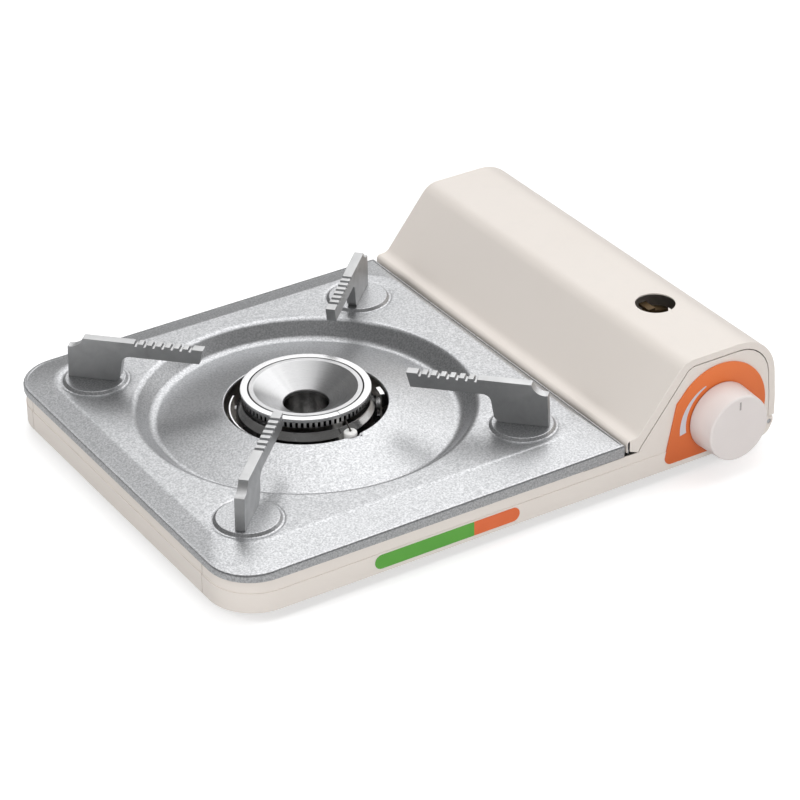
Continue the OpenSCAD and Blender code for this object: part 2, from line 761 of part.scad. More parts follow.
module burner_screws() color(bright) place() for (a = burner_screw_angles) rotate(a)
    translate([burner_screw_r, 0, 0]) screw_up(base_z, body_z - base_z + 0.9 * body_wall, case_screw_r);

// Sleeve that sets the air
module air_shutter() color(steel) place() difference() {
    rod_x(tube_reach - 2.4 * air_slot, tube_reach - air_slot, 0, tube_z, tube_r + sheet_t);
    rod_x(tube_reach - 3 * air_slot, tube_reach, 0, tube_z, tube_r + 2 * slip);
    translate([tube_reach - 2 * air_slot, -air_slot / 4, tube_z])
        cube([air_slot / 1.5, air_slot / 2, 2 * tube_r]);
}

// Brass nozzle that blows into the mixing tube
nozzle_gap = 2;
nozzle_x = tube_reach + nozzle_gap;
nozzle_tip = 6;
nozzle_tip_r = 2.4;
nozzle_hex = 4;
nozzle_hex_r = 4.2;
nozzle_len = 11;
nozzle_r = 3.4;
jet_r = 0.5;
module gas_nozzle() color(brass) place() difference() {
    union() {
        rod_x(nozzle_x - nozzle_tip, nozzle_x, 0, tube_z, nozzle_tip_r);
        translate([nozzle_x, 0, tube_z]) rotate([0, 90, 0])
            cylinder(h = nozzle_hex, r = nozzle_hex_r, $fn = 6);
        rod_x(nozzle_x, nozzle_x + nozzle_len, 0, tube_z, nozzle_r);
    }
    rod_x(nozzle_x + nozzle_len / 2, nozzle_x + nozzle_len + cut, 0, tube_z, pipe_r);
    rod_x(nozzle_x - nozzle_tip - cut, nozzle_x + nozzle_len + cut, 0, tube_z, jet_r);
}

// Tab that holds the nozzle
tab_w = 16;
tab_rise = 5.5;
tab_chamfer = 2;
module nozzle_bracket() color(steel) place() difference() {
    along_x(nozzle_x + nozzle_hex, nozzle_x + nozzle_hex + bracket_t) polygon([
        [-tab_w / 2, floor_z + heat_t], [tab_w / 2, floor_z + heat_t], [tab_w / 2, tube_z],
        [tab_w / 2 - tab_chamfer, tube_z + tab_rise], [tab_chamfer - tab_w / 2, tube_z + tab_rise],
        [-tab_w / 2, tube_z]]);
    rod_x(nozzle_x, nozzle_x + nozzle_len + cut, 0, tube_z, nozzle_r);
}

// Gas pipe: from the valve to the left, back along the partition and into the nozzle
module pipe_ring() {
    difference() {
        circle(pipe_r);
        circle(pipe_bore);
    }
}

module pipe_elbow(x, y, a) {
    translate([x, y, tube_z]) rotate(a) rotate_extrude(angle = 90) translate([pipe_bend, 0]) pipe_ring();
}

pipe_seat = 2;
nut_len = 7;
nut_r = 5;
module gas_pipe() color(brass) place() {
    along_x(nozzle_x + nozzle_len / 2, pipe_x - pipe_bend) translate([0, tube_z]) pipe_ring();
    pipe_elbow(pipe_x - pipe_bend, -pipe_bend, 0);
    along_y(pipe_y + pipe_bend, -pipe_bend) translate([pipe_x, tube_z]) pipe_ring();
    pipe_elbow(pipe_x + pipe_bend, pipe_y + pipe_bend, 180);
    along_x(pipe_x + pipe_bend, valve_left + pipe_seat) translate([pipe_y, tube_z]) pipe_ring();
}

module pipe_nut() color(brass) place() difference() {
    translate([valve_left - nut_len, pipe_y, tube_z]) rotate([0, 90, 0])
        cylinder(h = nut_len, r = nut_r, $fn = 6);
    rod_x(valve_left - nut_len - cut, valve_left + cut, pipe_y, tube_z, pipe_r);
}

// Strip that leads heat from the burner to the canister
heat_angle = 212;
heat_bend_r = 3;
heat_end = [bay_x, canister_z] + (trough_r + 2 * heat_t) * [cos(heat_angle), sin(heat_angle)];
module heat_plate() color(bright) place() along_y(-heat_w / 2, heat_w / 2)
    polygon(sheet([[strap_r + hole_gap, floor_z], [heat_end[0] - 2 * heat_bend_r, floor_z], heat_end],
        [0, heat_bend_r, 0], heat_t));

// Electrode beside the ports, in a ceramic sleeve that a clip holds
needle_foot = 4;
needle_bend = 2;
needle_rise = 6.3;
needle_reach = 4.4;
tip_r = 0.4;
module electrode_pin() color(bright) place() {
    translate([electrode_x, electrode_y, floor_z + needle_foot])
        cylinder(h = plate_h + needle_bend - floor_z - needle_foot, r = needle_r);
    hull() {
        translate([electrode_x, electrode_y, plate_h + needle_bend]) sphere(needle_r, $fn = 16);
        translate([electrode_x - tip_r, electrode_y + needle_reach, plate_h + needle_rise])
            sphere(tip_r, $fn = 16);
    }
}

ceramic_foot = 6;
ceramic_neck_r = ceramic_r - tip_r;
collar_drop = 3;
collar_h = 2;
clip_z = plate_h - 2 * collar_drop;
ceramic_rise = 0.8;
module electrode_ceramic() color([0.95, 0.95, 0.93]) place() difference() {
    translate([electrode_x, electrode_y, 0]) rotate_extrude() polygon([
        [0, floor_z + ceramic_foot], [ceramic_neck_r, floor_z + ceramic_foot],
        [ceramic_neck_r, clip_z], [ceramic_r + edge_r, clip_z + collar_drop - collar_h],
        [ceramic_r + edge_r, clip_z + collar_drop], [ceramic_r, clip_z + collar_drop + edge_r],
        [ceramic_r - tip_r, plate_h + ceramic_rise / 2], [ceramic_r - ceramic_rise, plate_h + ceramic_rise],
        [0, plate_h + ceramic_rise]]);
    translate([electrode_x, electrode_y, floor_z]) cylinder(h = plate_h, r = needle_r);
}

clip_w = 10;
clip_back = 6;
clip_foot = 10;
clip_front = 2.8;
module electrode_clip() color(steel) place() difference() {
    along_x(electrode_x - clip_w / 2, electrode_x + clip_w / 2) polygon(sheet([
        [electrode_y - clip_back - clip_foot, floor_z], [electrode_y - clip_back, floor_z],
        [electrode_y - clip_back, clip_z - sheet_t], [electrode_y + clip_front, clip_z - sheet_t]],
        [0, sheet_t, 0, 0], sheet_t));
    translate([electrode_x, electrode_y, floor_z]) cylinder(h = plate_h, r = ceramic_neck_r);
}

// Bracket that carries the valve and the igniter behind the front panel
bracket_reach = 35;
bracket_side = 30;
bracket_left = dial_x - bracket_reach;
bracket_right = dial_x + bracket_side;
bracket_top = knob_z + valve_w;
bracket_leg = 44;
bracket_screw_in = 8;
bracket_screw_places = [[dial_x - bracket_screw_in, valve_front + bracket_screw_in],
    [dial_x + bracket_screw_in, valve_rear - bracket_screw_in]];
module valve_bracket() color(steel) place() difference() {
    union() {
        block(bracket_left, rim_front, floor_z, bracket_right, bracket_inner + sheet_t, bracket_top);
        block(bracket_left, panel_inner, base_z + rim_h + hole_gap, bracket_right, bracket_inner + sheet_t,
            bracket_top);
        block(dial_x - bracket_leg / 2, rim_front, floor_z, dial_x + bracket_leg / 2, valve_rear,
            floor_z + bracket_t);
    }
    rod_y(panel_inner - cut, bracket_inner + 2 * sheet_t, dial_x, knob_z, stem_r + hole_gap);
    for (p = bracket_screw_places) translate([p[0], p[1], 0]) cylinder(h = plate_h, r = case_screw_r);
}

// Valve casting with the stem's bore and the pipe's outlet
valve_r = 13;
gland_r = 7;
gland_h = 2;
valve_seat = 6;
valve_screw_l = 5;
module valve_body() color(brass) place() difference() {
    union() {
        block(valve_left, valve_front, floor_z + bracket_t, dial_x + valve_r, valve_rear, knob_z);
        rod_y(valve_front, valve_rear, dial_x, knob_z, valve_r);
        rod_y(valve_front - gland_h, valve_front + cut, dial_x, knob_z, gland_r);
    }
    rod_y(valve_front - gland_h - cut, valve_rear - valve_seat, dial_x, knob_z, stem_r + slip);
    rod_x(valve_left - cut, valve_left + pipe_seat, pipe_y, tube_z, pipe_r);
    rod_x(valve_left, valve_left + valve_w, pipe_y, tube_z, pipe_bore);
    for (p = bracket_screw_places) translate([p[0], p[1], 0])
        cylinder(h = floor_z + bracket_t + valve_screw_l, r = case_screw_r);
}

module valve_screws() color(bright) place() for (p = bracket_screw_places) translate([p[0], p[1], 0])
    screw_up(base_z, floor_z - base_z + bracket_t + 0.8 * valve_screw_l, case_screw_r);

// Igniter beside the stem, held on the bracket
igniter_y = cam_y + cam_t / 2;
igniter_from_stem = 23;
igniter_right = dial_x - igniter_from_stem;
igniter_len = 21;
igniter_left = igniter_right - igniter_len;
plunger_end = dial_x - cam_r - seat_gap;
plunger_in = 6;
lead_in = 7;
module igniter_body() color([0.15, 0.15, 0.16]) place() difference() {
    union() {
        rod_x(igniter_left, igniter_right, igniter_y, knob_z, igniter_r);
        block(bracket_left, bracket_inner + sheet_t, knob_z - igniter_r,
            igniter_left + 0.85 * igniter_len, igniter_y, knob_z + igniter_r);
    }
    rod_x(igniter_right - plunger_in - plunger_travel - 2 * seat_gap, igniter_right + cut, igniter_y, knob_z,
        plunger_r + slip);
    rod_x(igniter_left - cut, igniter_left + lead_in + seat_gap, igniter_y, knob_z, lead_r + 2 * slip);
}

module igniter_plunger() color([0.9, 0.9, 0.88]) place() {
    rod_x(igniter_right - plunger_in, plunger_end - plunger_r, igniter_y, knob_z, plunger_r);
    translate([plunger_end - plunger_r, igniter_y, knob_z]) sphere(plunger_r);
}

// Held high-voltage lead: along the pan, through the partition and up to the igniter
lead_run_shares = [0.03, 0.3, 0.65];
lead_rise_shares = [[0.3, 0.15, 0.15], [0.35, 0.55, 0.5], [0.5, 0.85, 0.85]];
lead_from = [electrode_x, electrode_y, lead_z];
lead_to = [partition_x - lead_in, lead_hole_y, lead_z];
rise_from = [partition_x + lead_in, lead_hole_y, lead_z];
rise_to = [igniter_left - lead_in, igniter_y, knob_z];
lead_route = concat([[electrode_x, electrode_y, floor_z + needle_foot - slip],
        [electrode_x, electrode_y - 2 * slip, floor_z + needle_foot - lead_r]],
    [for (q = lead_run_shares) lead_from + q * (lead_to - lead_from)],
    [lead_to, rise_from],
    [for (q = lead_rise_shares) rise_from + [for (i = [0:2]) q[i] * (rise_to - rise_from)[i]]],
    [rise_to, [igniter_left + lead_in, igniter_y, knob_z]]);
lead_sides = 8;

function along(p, i) = unit(p[min(i + 1, len(p) - 1)] - p[max(i - 1, 0)]);

module tube_along(p, r, n) {
    rings = [for (i = [0:len(p) - 1])
        let (t = along(p, i), a = unit(cross(t, [0.2, 0.1, 1])), b = cross(a, t))
        each [for (k = [0:n - 1]) p[i] + r * (cos(360 * k / n) * a + sin(360 * k / n) * b)]];
    last = len(p) - 1;
    polyhedron(rings, concat(
        [[for (k = [0:n - 1]) k]], [[for (k = [n - 1:-1:0]) last * n + k]],
        [for (i = [0:last - 1], k = [0:n - 1])
            [i * n + k, (i + 1) * n + k, (i + 1) * n + (k + 1) % n]],
        [for (i = [0:last - 1], k = [0:n - 1])
            [i * n + k, (i + 1) * n + (k + 1) % n, i * n + (k + 1) % n]]));
}

module ignition_lead() color([0.85, 0.2, 0.15]) place() tube_along(lead_route, lead_r, lead_sides);

// Regulator behind the valve: inlet flange, block and diaphragm housing
flange_r = 29;
flange_t = 6;
magnet_r = 25;
magnet_in = 13;
magnet_t = 4;
inlet_r = 4.6;
inlet_len = 8;
seal_t = 2;
neck_r = 12;
diaphragm_r = 15;
diaphragm_t = 6;
diaphragm_in = 22;
diaphragm_from_seat = 23;
diaphragm_x = bay_x - diaphragm_in;
diaphragm_y = seat_front - diaphragm_from_seat;
cover_t = 2;
cover_h = 8;
small_screw_r = 1.2;
small_screw_l = 4;
regulator_screw_places = [for (a = [45:90:315]) [diaphragm_y + 0.8 * diaphragm_r * cos(a),
    canister_z + 0.8 * diaphragm_r * sin(a)]];
module regulator_body() color(cast_grey) place() difference() {
    union() {
        rod_y(seat_front - flange_t, seat_front, bay_x, canister_z, flange_r);
        rod_y(valve_rear, seat_front, bay_x, canister_z, neck_r);
        rod_x(diaphragm_x, bay_x, diaphragm_y, canister_z, diaphragm_r * 2 / 3);
        rod_x(diaphragm_x, diaphragm_x + diaphragm_t, diaphragm_y, canister_z, diaphragm_r);
        block(bay_x - neck_r, valve_rear, floor_z,
            bay_x + neck_r, seat_front - flange_t, canister_z);
    }
    rod_y(seat_front - inlet_len - seal_t, seat_front + cut, bay_x, canister_z, inlet_r);
    difference() {
        rod_y(seat_front - magnet_t, seat_front + cut, bay_x, canister_z, magnet_r);
        rod_y(seat_front - magnet_t - cut, seat_front + 2 * cut, bay_x, canister_z, magnet_in);
    }
    for (p = regulator_screw_places)
        rod_x(diaphragm_x - cut, diaphragm_x + small_screw_l + cut, p[0], p[1], small_screw_r);
}

module regulator_cover() color(bright) place() difference() {
    translate([diaphragm_x, diaphragm_y, canister_z]) rotate([0, -90, 0]) rotate_extrude()
        polygon(rounded([[0, 0], [diaphragm_r, 0], [diaphragm_r, cover_t], [0.6 * diaphragm_r, cover_t],
            [0.53 * diaphragm_r, cover_h], [0, cover_h]], [0, 0, edge_r, edge_r, cover_t, 0]));
    for (p = regulator_screw_places)
        rod_x(diaphragm_x - cover_h, diaphragm_x + cut, p[0], p[1], small_screw_r);
}

module regulator_screws() color(bright) place() for (p = regulator_screw_places) {
    rod_x(diaphragm_x - cover_t, diaphragm_x + small_screw_l, p[0], p[1], small_screw_r);
    rod_x(diaphragm_x - cover_t - small_screw_r, diaphragm_x - cover_t, p[0], p[1], 1.8 * small_screw_r);
}

module canister_magnet_ring() color([0.25, 0.25, 0.26]) place() difference() {
    rod_y(seat_front - magnet_t, seat_front - edge_r, bay_x, canister_z, magnet_r);
    rod_y(seat_front - magnet_t - cut, seat_front + cut, bay_x, canister_z, magnet_in);
}

// Tongue that enters the notch of the canister's collar
tongue_w = 5;
tongue_t = 1.6;
tongue_out = 4;
module canister_guide_pin() color(steel) place()
    block(bay_x - tongue_w / 2, seat_front - flange_t, canister_z + flange_r,
        bay_x + tongue_w / 2, seat_front + tongue_out, canister_z + flange_r + tongue_t);

module inlet_seal() color([0.1, 0.1, 0.1]) place() difference() {
    rod_y(seat_front - inlet_len - seal_t, seat_front - inlet_len, bay_x, canister_z, inlet_r);
    rod_y(seat_front - inlet_len - seal_t - cut, seat_front, bay_x, canister_z, inlet_r / 3);
}

// Orange plate round the knob, with a straight left edge and foot
dial_foot = 22.4;
dial_flare = 5.4;
dial_corner_r = 4.5;
dial_corner = [dial_x - dial_r - dial_flare, knob_z - dial_foot];
module dial_shape() {
    difference() {
        union() {
            translate([dial_x, knob_z]) circle(dial_r, $fn = 96);
            polygon(concat(rounded([[dial_x - 0.91 * dial_r, knob_z + 0.485 * dial_r], dial_corner,
                [dial_x, dial_corner[1]]], [0, dial_corner_r, 0]), [[dial_x, knob_z]]));
        }
        translate([dial_x - 2 * dial_r, knob_z - dial_foot - dial_r]) square([4 * dial_r, dial_r]);
    }
}

module dial_plate() color(orange) place() difference() {
    union() {
        along_y(dial_front, panel_front - band_proud) dial_shape();
        along_y(dial_front, panel_front) intersection() {
            dial_shape();
            translate([plate_right, band_z]) square([lid_w, plate_h + lid_top]);
        }
    }
    rod_y(dial_front - cut, panel_front + cut, dial_x, knob_z, stem_r + hole_gap);
}

// White wedge that widens towards ignition
scale_t = 0.2;
scale_steps = 16;
scale_from = 115;
scale_to = 191;
scale_width = 4.5;
scale_thin = 0.8;
module dial_scale() color([0.96, 0.95, 0.94]) place() along_y(dial_front - scale_t, dial_front)
    translate([dial_x, knob_z]) polygon(concat(
        [for (i = [0:scale_steps]) let (s = i / scale_steps, a = scale_from + (scale_to - scale_from) * s)
            (scale_r - scale_width) * [cos(a), sin(a)]],
        [for (i = [scale_steps:-1:0]) let (s = i / scale_steps, a = scale_from + (scale_to - scale_from) * s)
            (scale_r - (scale_width - scale_thin) * (1 - s)) * [cos(a), sin(a)]]));

// Bare two-colour label on the band of the front panel
label_rise = 2.6;
label_z = base_z + label_h / 2 + label_rise;
label_front = panel_front - band_proud - label_t;
module label_piece(left_end, x0, x1) {
    along_y(label_front, label_front + label_t) intersection() {
        union() {
            translate([x0 + label_h / 2, label_z - label_h / 2]) square([x1 - x0 - label_h, label_h]);
            for (x = [x0 + label_h / 2, x1 - label_h / 2]) translate([x, label_z]) circle(label_h / 2);
            translate([left_end ? x1 - label_h : x0, label_z - label_h / 2]) square([label_h, label_h]);
        }
        translate([x0, label_z - label_h]) square([x1 - x0, 2 * label_h]);
    }
}

label_split = -label_left + label_len * green_share;
module label_green() color([0.36, 0.66, 0.24]) place()
    label_piece(true, -label_left, label_split);
module label_orange() color([0.91, 0.38, 0.2]) place()
    label_piece(false, label_split, label_len - label_left);

// Knob with a hollow back, a hub for the stem and a raised mark
knob_wall = 2;
knob_round = 2.2;
hub_r = 7;
mark_w = 0.9;
mark_l = 5;
module control_knob() color(cream) place() difference() {
    union() {
        translate([dial_x, knob_back, knob_z]) rotate([90, 0, 0]) rotate_extrude($fn = 96) difference() {
            polygon(rounded([[0, knob_d], [knob_r, knob_d], [knob_back_r, 0], [0, 0]],
                [0, knob_round, edge_r, 0]));
            polygon([[hub_r, -cut], [knob_back_r - knob_wall, -cut],
                [knob_r - knob_wall, knob_d - 1.5 * knob_wall], [hub_r, knob_d - 1.5 * knob_wall]]);
        }
        translate([dial_x - mark_w / 2, knob_back - knob_d - mark_proud,
            knob_z + knob_r - knob_round - mark_l]) cube([mark_w, cut, mark_l]);
    }
    rod_y(knob_back - knob_d + 2 * knob_wall, knob_back + cut, dial_x, knob_z, stem_r);
}

module valve_stem() color(brass) place()
    rod_y(knob_back - knob_d + 2 * knob_wall, valve_rear - valve_seat - hole_gap, dial_x, knob_z, stem_r);

// Cam whose radius grows evenly over the knob's turn, and so pushes the plunger
cam_step = 5;
function cam_radius(a) = a < 180 - knob_turn - 20 || a > 180 ? cam_r :
    cam_r + plunger_travel * min(1, (180 - a) / knob_turn);
module igniter_cam() color([0.2, 0.2, 0.22]) place() difference() {
    along_y(cam_y, cam_y + cam_t) translate([dial_x, knob_z])
        polygon([for (a = [0:cam_step:355]) cam_radius(a) * [cos(a), sin(a)]]);
    rod_y(cam_y - cut, cam_y + cam_t + cut, dial_x, knob_z, stem_r);
}

// Lid over the canister bay
ear_r = 4;
ear_rise = 8;
module lid_end() {
    along_y(panel_front, panel_inner) polygon(concat(
        rounded(flange_path, flange_radii), reversed(inside_flange(0))));
    difference() {
        union() {
            rod_y(ear_front, ear_front + sheet_t, hinge_x, hinge_z, ear_r);
            block(hinge_x - ear_r / 4, ear_front, hinge_z, lid_right - sheet_t / 2, ear_front + sheet_t,
                wall_z + ear_rise);
        }
        hinge_hole(hinge_r + hinge_fit);
    }
}

pointer_w = 2.4;
pointer_angle = -72;
module canister_lid() color(cream) place() {
    difference() {
        along_y(panel_front, panel_rear) polygon(sheet(lid_path, lid_radii, -sheet_t));
        translate([bay_x, -window_y, plate_h]) cylinder(h = 2 * lid_top, r = window_r);
    }
    translate([bay_x, -window_y, lid_z - sheet_t]) rotate(pointer_angle)
        translate([window_r - pointer_w, -pointer_w / 2, 0]) cube([pointer_w + cut, pointer_w, sheet_t]);
    lid_end();
    translate([0, 2 * plate_mid_y, 0]) mirror([0, 1, 0]) lid_end();
}

// Shell of the plate before the dish and pads, moved inwards by inset and down by it
module plate_form(inset) translate([0, 0, -inset]) {
    $fn = 96;
    hull() {
        translate([0, 0, plate_h - film]) linear_extrude(film) field_plan(0);
        translate([0, 0, plate_h - margin_drop - film]) linear_extrude(film) plan(edge_bevel + inset);
        translate([0, 0, plate_h - margin_drop - edge_bevel - film]) linear_extrude(film) plan(inset);
    }
}

module plate_shell() {
    difference() {
        union() {
            plate_form(0);
            translate([0, 0, plate_h - skirt_h]) linear_extrude(skirt_h - margin_drop - edge_bevel) plan(0);
        }
        plate_form(plate_t);
        translate([0, 0, plate_h - skirt_h - cut])
            linear_extrude(cut + skirt_h - margin_drop - edge_bevel - plate_t) plan(plate_t);
    }
}

dish_path = [[dish_r + 2 * dish_bend_r, plate_h], [dish_r, plate_h], [dish_floor_r, plate_h - dish_depth],
    [hole_r, plate_h + hole_rise], [hole_r, plate_h + hole_rise - hole_lip]];
dish_radii = [0, dish_bend_r, dish_bend_r, plate_t, 0];
pad_path = [[pad_r + pad_wall, plate_h], [pad_r, plate_h], [pad_r - pad_wall, plate_h + pad_rise],
    [0, plate_h + pad_rise]];
pad_radii = [0, pad_wall / 2, pad_wall / 2, 0];
pad_angle = 45;
support_mid = pad_offset * sqrt(2);
support_screw_reaches = [for (s = [-1, 1]) support_mid + s * support_screws_apart / 2];
support_screw_r = 2;
support_screw_l = 8;

module at_supports() for (a = [pad_angle:90:pad_angle + 270]) rotate(a) children();

module top_plate() color(steel) place() difference() {
    union() {
        difference() {
            plate_shell();
            cylinder(h = 2 * plate_h, r = dish_r + dish_bend_r, $fn = 96);
            for (p = pad_places) translate([p[0], p[1], 0])
                cylinder(h = 2 * plate_h, r = pad_r + pad_wall / 2);
        }
        rotate_extrude($fn = 96) polygon(sheet(dish_path, dish_radii, plate_t));
        for (p = pad_places) translate([p[0], p[1], 0])
            rotate_extrude() polygon(sheet(pad_path, pad_radii, plate_t));
    }
    at_supports() for (x = support_screw_reaches) translate([x, 0, 0])
        cylinder(h = 2 * plate_h, r = support_screw_r + 2 * slip);
    translate([electrode_x - notch_w / 2, -hole_r - notch_d, plate_h - 2 * hole_lip])
        cube([notch_w, notch_d + hole_lip * 2, 4 * hole_lip]);
}

// Section of a pan support along its length, x from the burner's axis
foot_z = plate_h + pad_rise;
support_z = plate_h + support_top;
under_z = plate_h + support_under;
foot_in_x = support_mid - support_foot / 2;
foot_out_x = support_mid + support_foot / 2;
foot_flare = 2.4;
foot_flare_h = 3;
riser_lean = 4.9;
riser_r = 5;
tip_undercut = 2.6;
hollow_rise = 1.9;
support_outline = concat([[foot_in_x, foot_z]],
    rounded([[foot_in_x - foot_flare, foot_z + foot_flare_h], [foot_in_x - riser_lean, under_z],
        [tip_reach + tip_undercut, under_z]], [0, riser_r, 0]),
    [[tip_reach, support_z], [foot_out_x - foot_flare, support_z], [foot_out_x, foot_z]]);

module support_section() {
    difference() {
        polygon(support_outline);
        translate([foot_out_x - foot_flare, support_z + hollow_rise]) circle(hollow_r);
        for (i = [0:notch_count - 1]) translate([tip_reach + first_notch + i * notch_pitch, support_z])
            polygon([[-tooth_gap / 2, cut], [-tooth_gap / 2, 0], [-tooth_gap / 4, -tooth_depth],
                [tooth_gap / 3, -tooth_depth], [tooth_gap / 2, 0], [tooth_gap / 2, cut]]);
    }
}

module pan_support(angle) color(cast_grey) place() rotate(angle) difference() {
    along_y(-support_t / 2, support_t / 2) support_section();
    for (x = support_screw_reaches) translate([x, 0, foot_z - cut])
        cylinder(h = cut + support_screw_l, r = support_screw_r);
}

module pan_support_front_left() pan_support(-180 + pad_angle);
module pan_support_front_right() pan_support(-pad_angle);
module pan_support_rear_left() pan_support(180 - pad_angle);
module pan_support_rear_right() pan_support(pad_angle);

module pan_support_screws() color(bright) place() at_supports()
    for (x = support_screw_reaches) translate([x, 0, 0])
        screw_up(foot_z - plate_t, plate_t + 0.9 * support_screw_l, support_screw_r);

base_pan();
base_walls();
front_panel();
rear_panel();
bay_partition();
feet();
case_screws();
lid_hinge_pins();
burner_body();
burner_port_ring();
burner_cone();
burner_cap_ring();
burner_bracket();
burner_screws();
air_shutter();
gas_nozzle();
nozzle_bracket();
gas_pipe();
pipe_nut();
heat_plate();
electrode_pin();
electrode_ceramic();
electrode_clip();
ignition_lead();
valve_bracket();
valve_body();
valve_screws();
igniter_body();
igniter_plunger();
regulator_body();
regulator_cover();
regulator_screws();
canister_magnet_ring();
canister_guide_pin();
inlet_seal();
dial_plate();
dial_scale();
label_green();
label_orange();
control_knob();
valve_stem();
igniter_cam();
canister_lid();
top_plate();
pan_support_front_left();
pan_support_front_right();
pan_support_rear_left();
pan_support_rear_right();
pan_support_screws();
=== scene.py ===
import math

import bmesh
import bpy
from mathutils import Matrix, Vector


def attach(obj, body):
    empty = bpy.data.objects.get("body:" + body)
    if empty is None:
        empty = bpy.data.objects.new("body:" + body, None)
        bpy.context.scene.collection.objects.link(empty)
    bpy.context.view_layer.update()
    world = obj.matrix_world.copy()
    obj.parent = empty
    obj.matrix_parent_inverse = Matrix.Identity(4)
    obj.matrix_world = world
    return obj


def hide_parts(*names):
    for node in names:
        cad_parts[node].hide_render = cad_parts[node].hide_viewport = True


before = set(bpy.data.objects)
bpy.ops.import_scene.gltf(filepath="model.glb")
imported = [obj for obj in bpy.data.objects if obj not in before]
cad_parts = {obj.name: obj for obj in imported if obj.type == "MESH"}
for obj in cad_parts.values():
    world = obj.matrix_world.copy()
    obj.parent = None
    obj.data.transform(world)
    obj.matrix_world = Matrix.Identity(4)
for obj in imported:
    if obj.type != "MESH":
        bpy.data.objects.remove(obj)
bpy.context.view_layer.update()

# Camera
# The stove is seen from its front left and from above, through a long lens, as in the photograph.
# The picture is square, and the camera leans by less than one degree.
camera_data = bpy.data.cameras.new("stove_camera")
camera_data.sensor_width = 36.0
camera_data.lens = 140.71
camera = bpy.data.objects.new("stove_camera", camera_data)
bpy.context.scene.collection.objects.link(camera)
right, up, back = (0.8473, -0.5310, -0.0130), (0.2806, 0.4266, 0.8598), (-0.4510, -0.7321, 0.5104)
camera.matrix_world = Matrix.Translation((-0.83014, -1.350795, 0.96602)) @ Matrix(
    [[right[i], up[i], back[i]] for i in range(3)]).to_4x4()
bpy.context.scene.camera = camera

# Table and studio light
# A pale table top runs out to the background and takes the soft shadow of the stove. The room is grey,
# with one wide bright window high at the right and a paler ceiling, and two scrims that light but don't
# mirror stand to the left and the front.
bpy.context.scene.view_settings.view_transform = "Standard"


def wire(tree, maker, values, **settings):
    """Adds one shader node, joins or fills its sockets, and gives it back."""
    node = tree.nodes.new(maker)
    for name, value in settings.items():
        setattr(node, name, value)
    for socket, value in values.items():
        if isinstance(value, bpy.types.NodeSocket):
            tree.links.new(value, node.inputs[socket])
        else:
            node.inputs[socket].default_value = value
    return node


def blended(tree, share, first, second):
    """Two colours mixed by a share, as one colour socket."""
    return wire(tree, "ShaderNodeMix", {0: share, 6: first, 7: second}, data_type="RGBA").outputs[2]


def new_finish(name):
    """An empty material to wire up."""
    finish = bpy.data.materials.new(name)
    finish.use_nodes = True
    finish.node_tree.nodes.clear()
    return finish


table_paint = new_finish("table_paint")
tree = table_paint.node_tree
seen = wire(tree, "ShaderNodeLightPath", {})
plainly = wire(tree, "ShaderNodeMath", {0: seen.outputs["Is Camera Ray"],
                                        1: seen.outputs["Is Transmission Ray"]}, operation="MAXIMUM")
strength = wire(tree, "ShaderNodeMath", {0: plainly.outputs[0], 1: 0.50}, operation="MULTIPLY")
matt = wire(tree, "ShaderNodeBsdfDiffuse", {"Color": (0.66, 0.66, 0.66, 1.0)})
glow = wire(tree, "ShaderNodeEmission", {"Color": (1.0, 1.0, 1.0, 1.0), "Strength": strength.outputs[0]})
both = wire(tree, "ShaderNodeAddShader", {0: matt.outputs[0], 1: glow.outputs[0]})
wire(tree, "ShaderNodeOutputMaterial", {"Surface": both.outputs[0]})

bpy.ops.object.select_all(action="DESELECT")
bpy.ops.mesh.primitive_plane_add(size=14.0, location=(0.0, 0.0, 0.0))
table_top = bpy.context.object
table_top.name = "table_top"
table_top.data.materials.append(table_paint)

room = bpy.data.worlds.new("pale_room")
bpy.context.scene.world = room
room.use_nodes = True
tree = room.node_tree
tree.nodes.clear()
room_seen = wire(tree, "ShaderNodeLightPath", {})
way = wire(tree, "ShaderNodeTexCoord", {})
aim = wire(tree, "ShaderNodeSeparateXYZ", {"Vector": way.outputs["Generated"]})
window = None
for axis, dim, full in (("X", -0.02, 0.13), ("Y", -0.37, -0.06), ("Y", 0.90, 0.70), ("Z", 0.06, 0.64)):
    side = wire(tree, "ShaderNodeMapRange", {"Value": aim.outputs[axis], "From Min": dim, "From Max": full},
                interpolation_type="SMOOTHSTEP")
    window = side.outputs[0] if window is None else wire(
        tree, "ShaderNodeMath", {0: window, 1: side.outputs[0]}, operation="MULTIPLY").outputs[0]
ceiling = wire(tree, "ShaderNodeMapRange", {"Value": aim.outputs["Z"], "From Min": 0.90, "From Max": 0.97,
                                            "To Max": 0.55}, interpolation_type="SMOOTHSTEP")
brighter = wire(tree, "ShaderNodeMath", {0: window, 1: ceiling.outputs[0]}, operation="MAXIMUM")
paler = wire(tree, "ShaderNodeMapRange", {"Value": brighter.outputs[0], "To Min": 0.21, "To Max": 2.2})
room_strength = wire(tree, "ShaderNodeMix", {"Factor": room_seen.outputs["Is Camera Ray"],
                                             "A": paler.outputs[0], "B": 1.0})
room_light = wire(tree, "ShaderNodeBackground",
                  {"Color": (1.0, 1.0, 1.0, 1.0), "Strength": room_strength.outputs[0]})
wire(tree, "ShaderNodeOutputWorld", {"Surface": room_light.outputs[0]})


def soft_lamp(name, place, aim, size, watts):
    """Hangs a square soft lamp at a place and turns it to what it lights."""
    lamp = bpy.data.lights.new(name, "AREA")
    lamp.shape, lamp.size, lamp.energy = "SQUARE", size, watts
    hung = bpy.data.objects.new(name, lamp)
    hung.matrix_world = Matrix.Translation(place) @ (
        Vector(place) - Vector(aim)).to_track_quat("Z", "Y").to_matrix().to_4x4()
    hung.visible_glossy = False
    bpy.context.scene.collection.objects.link(hung)


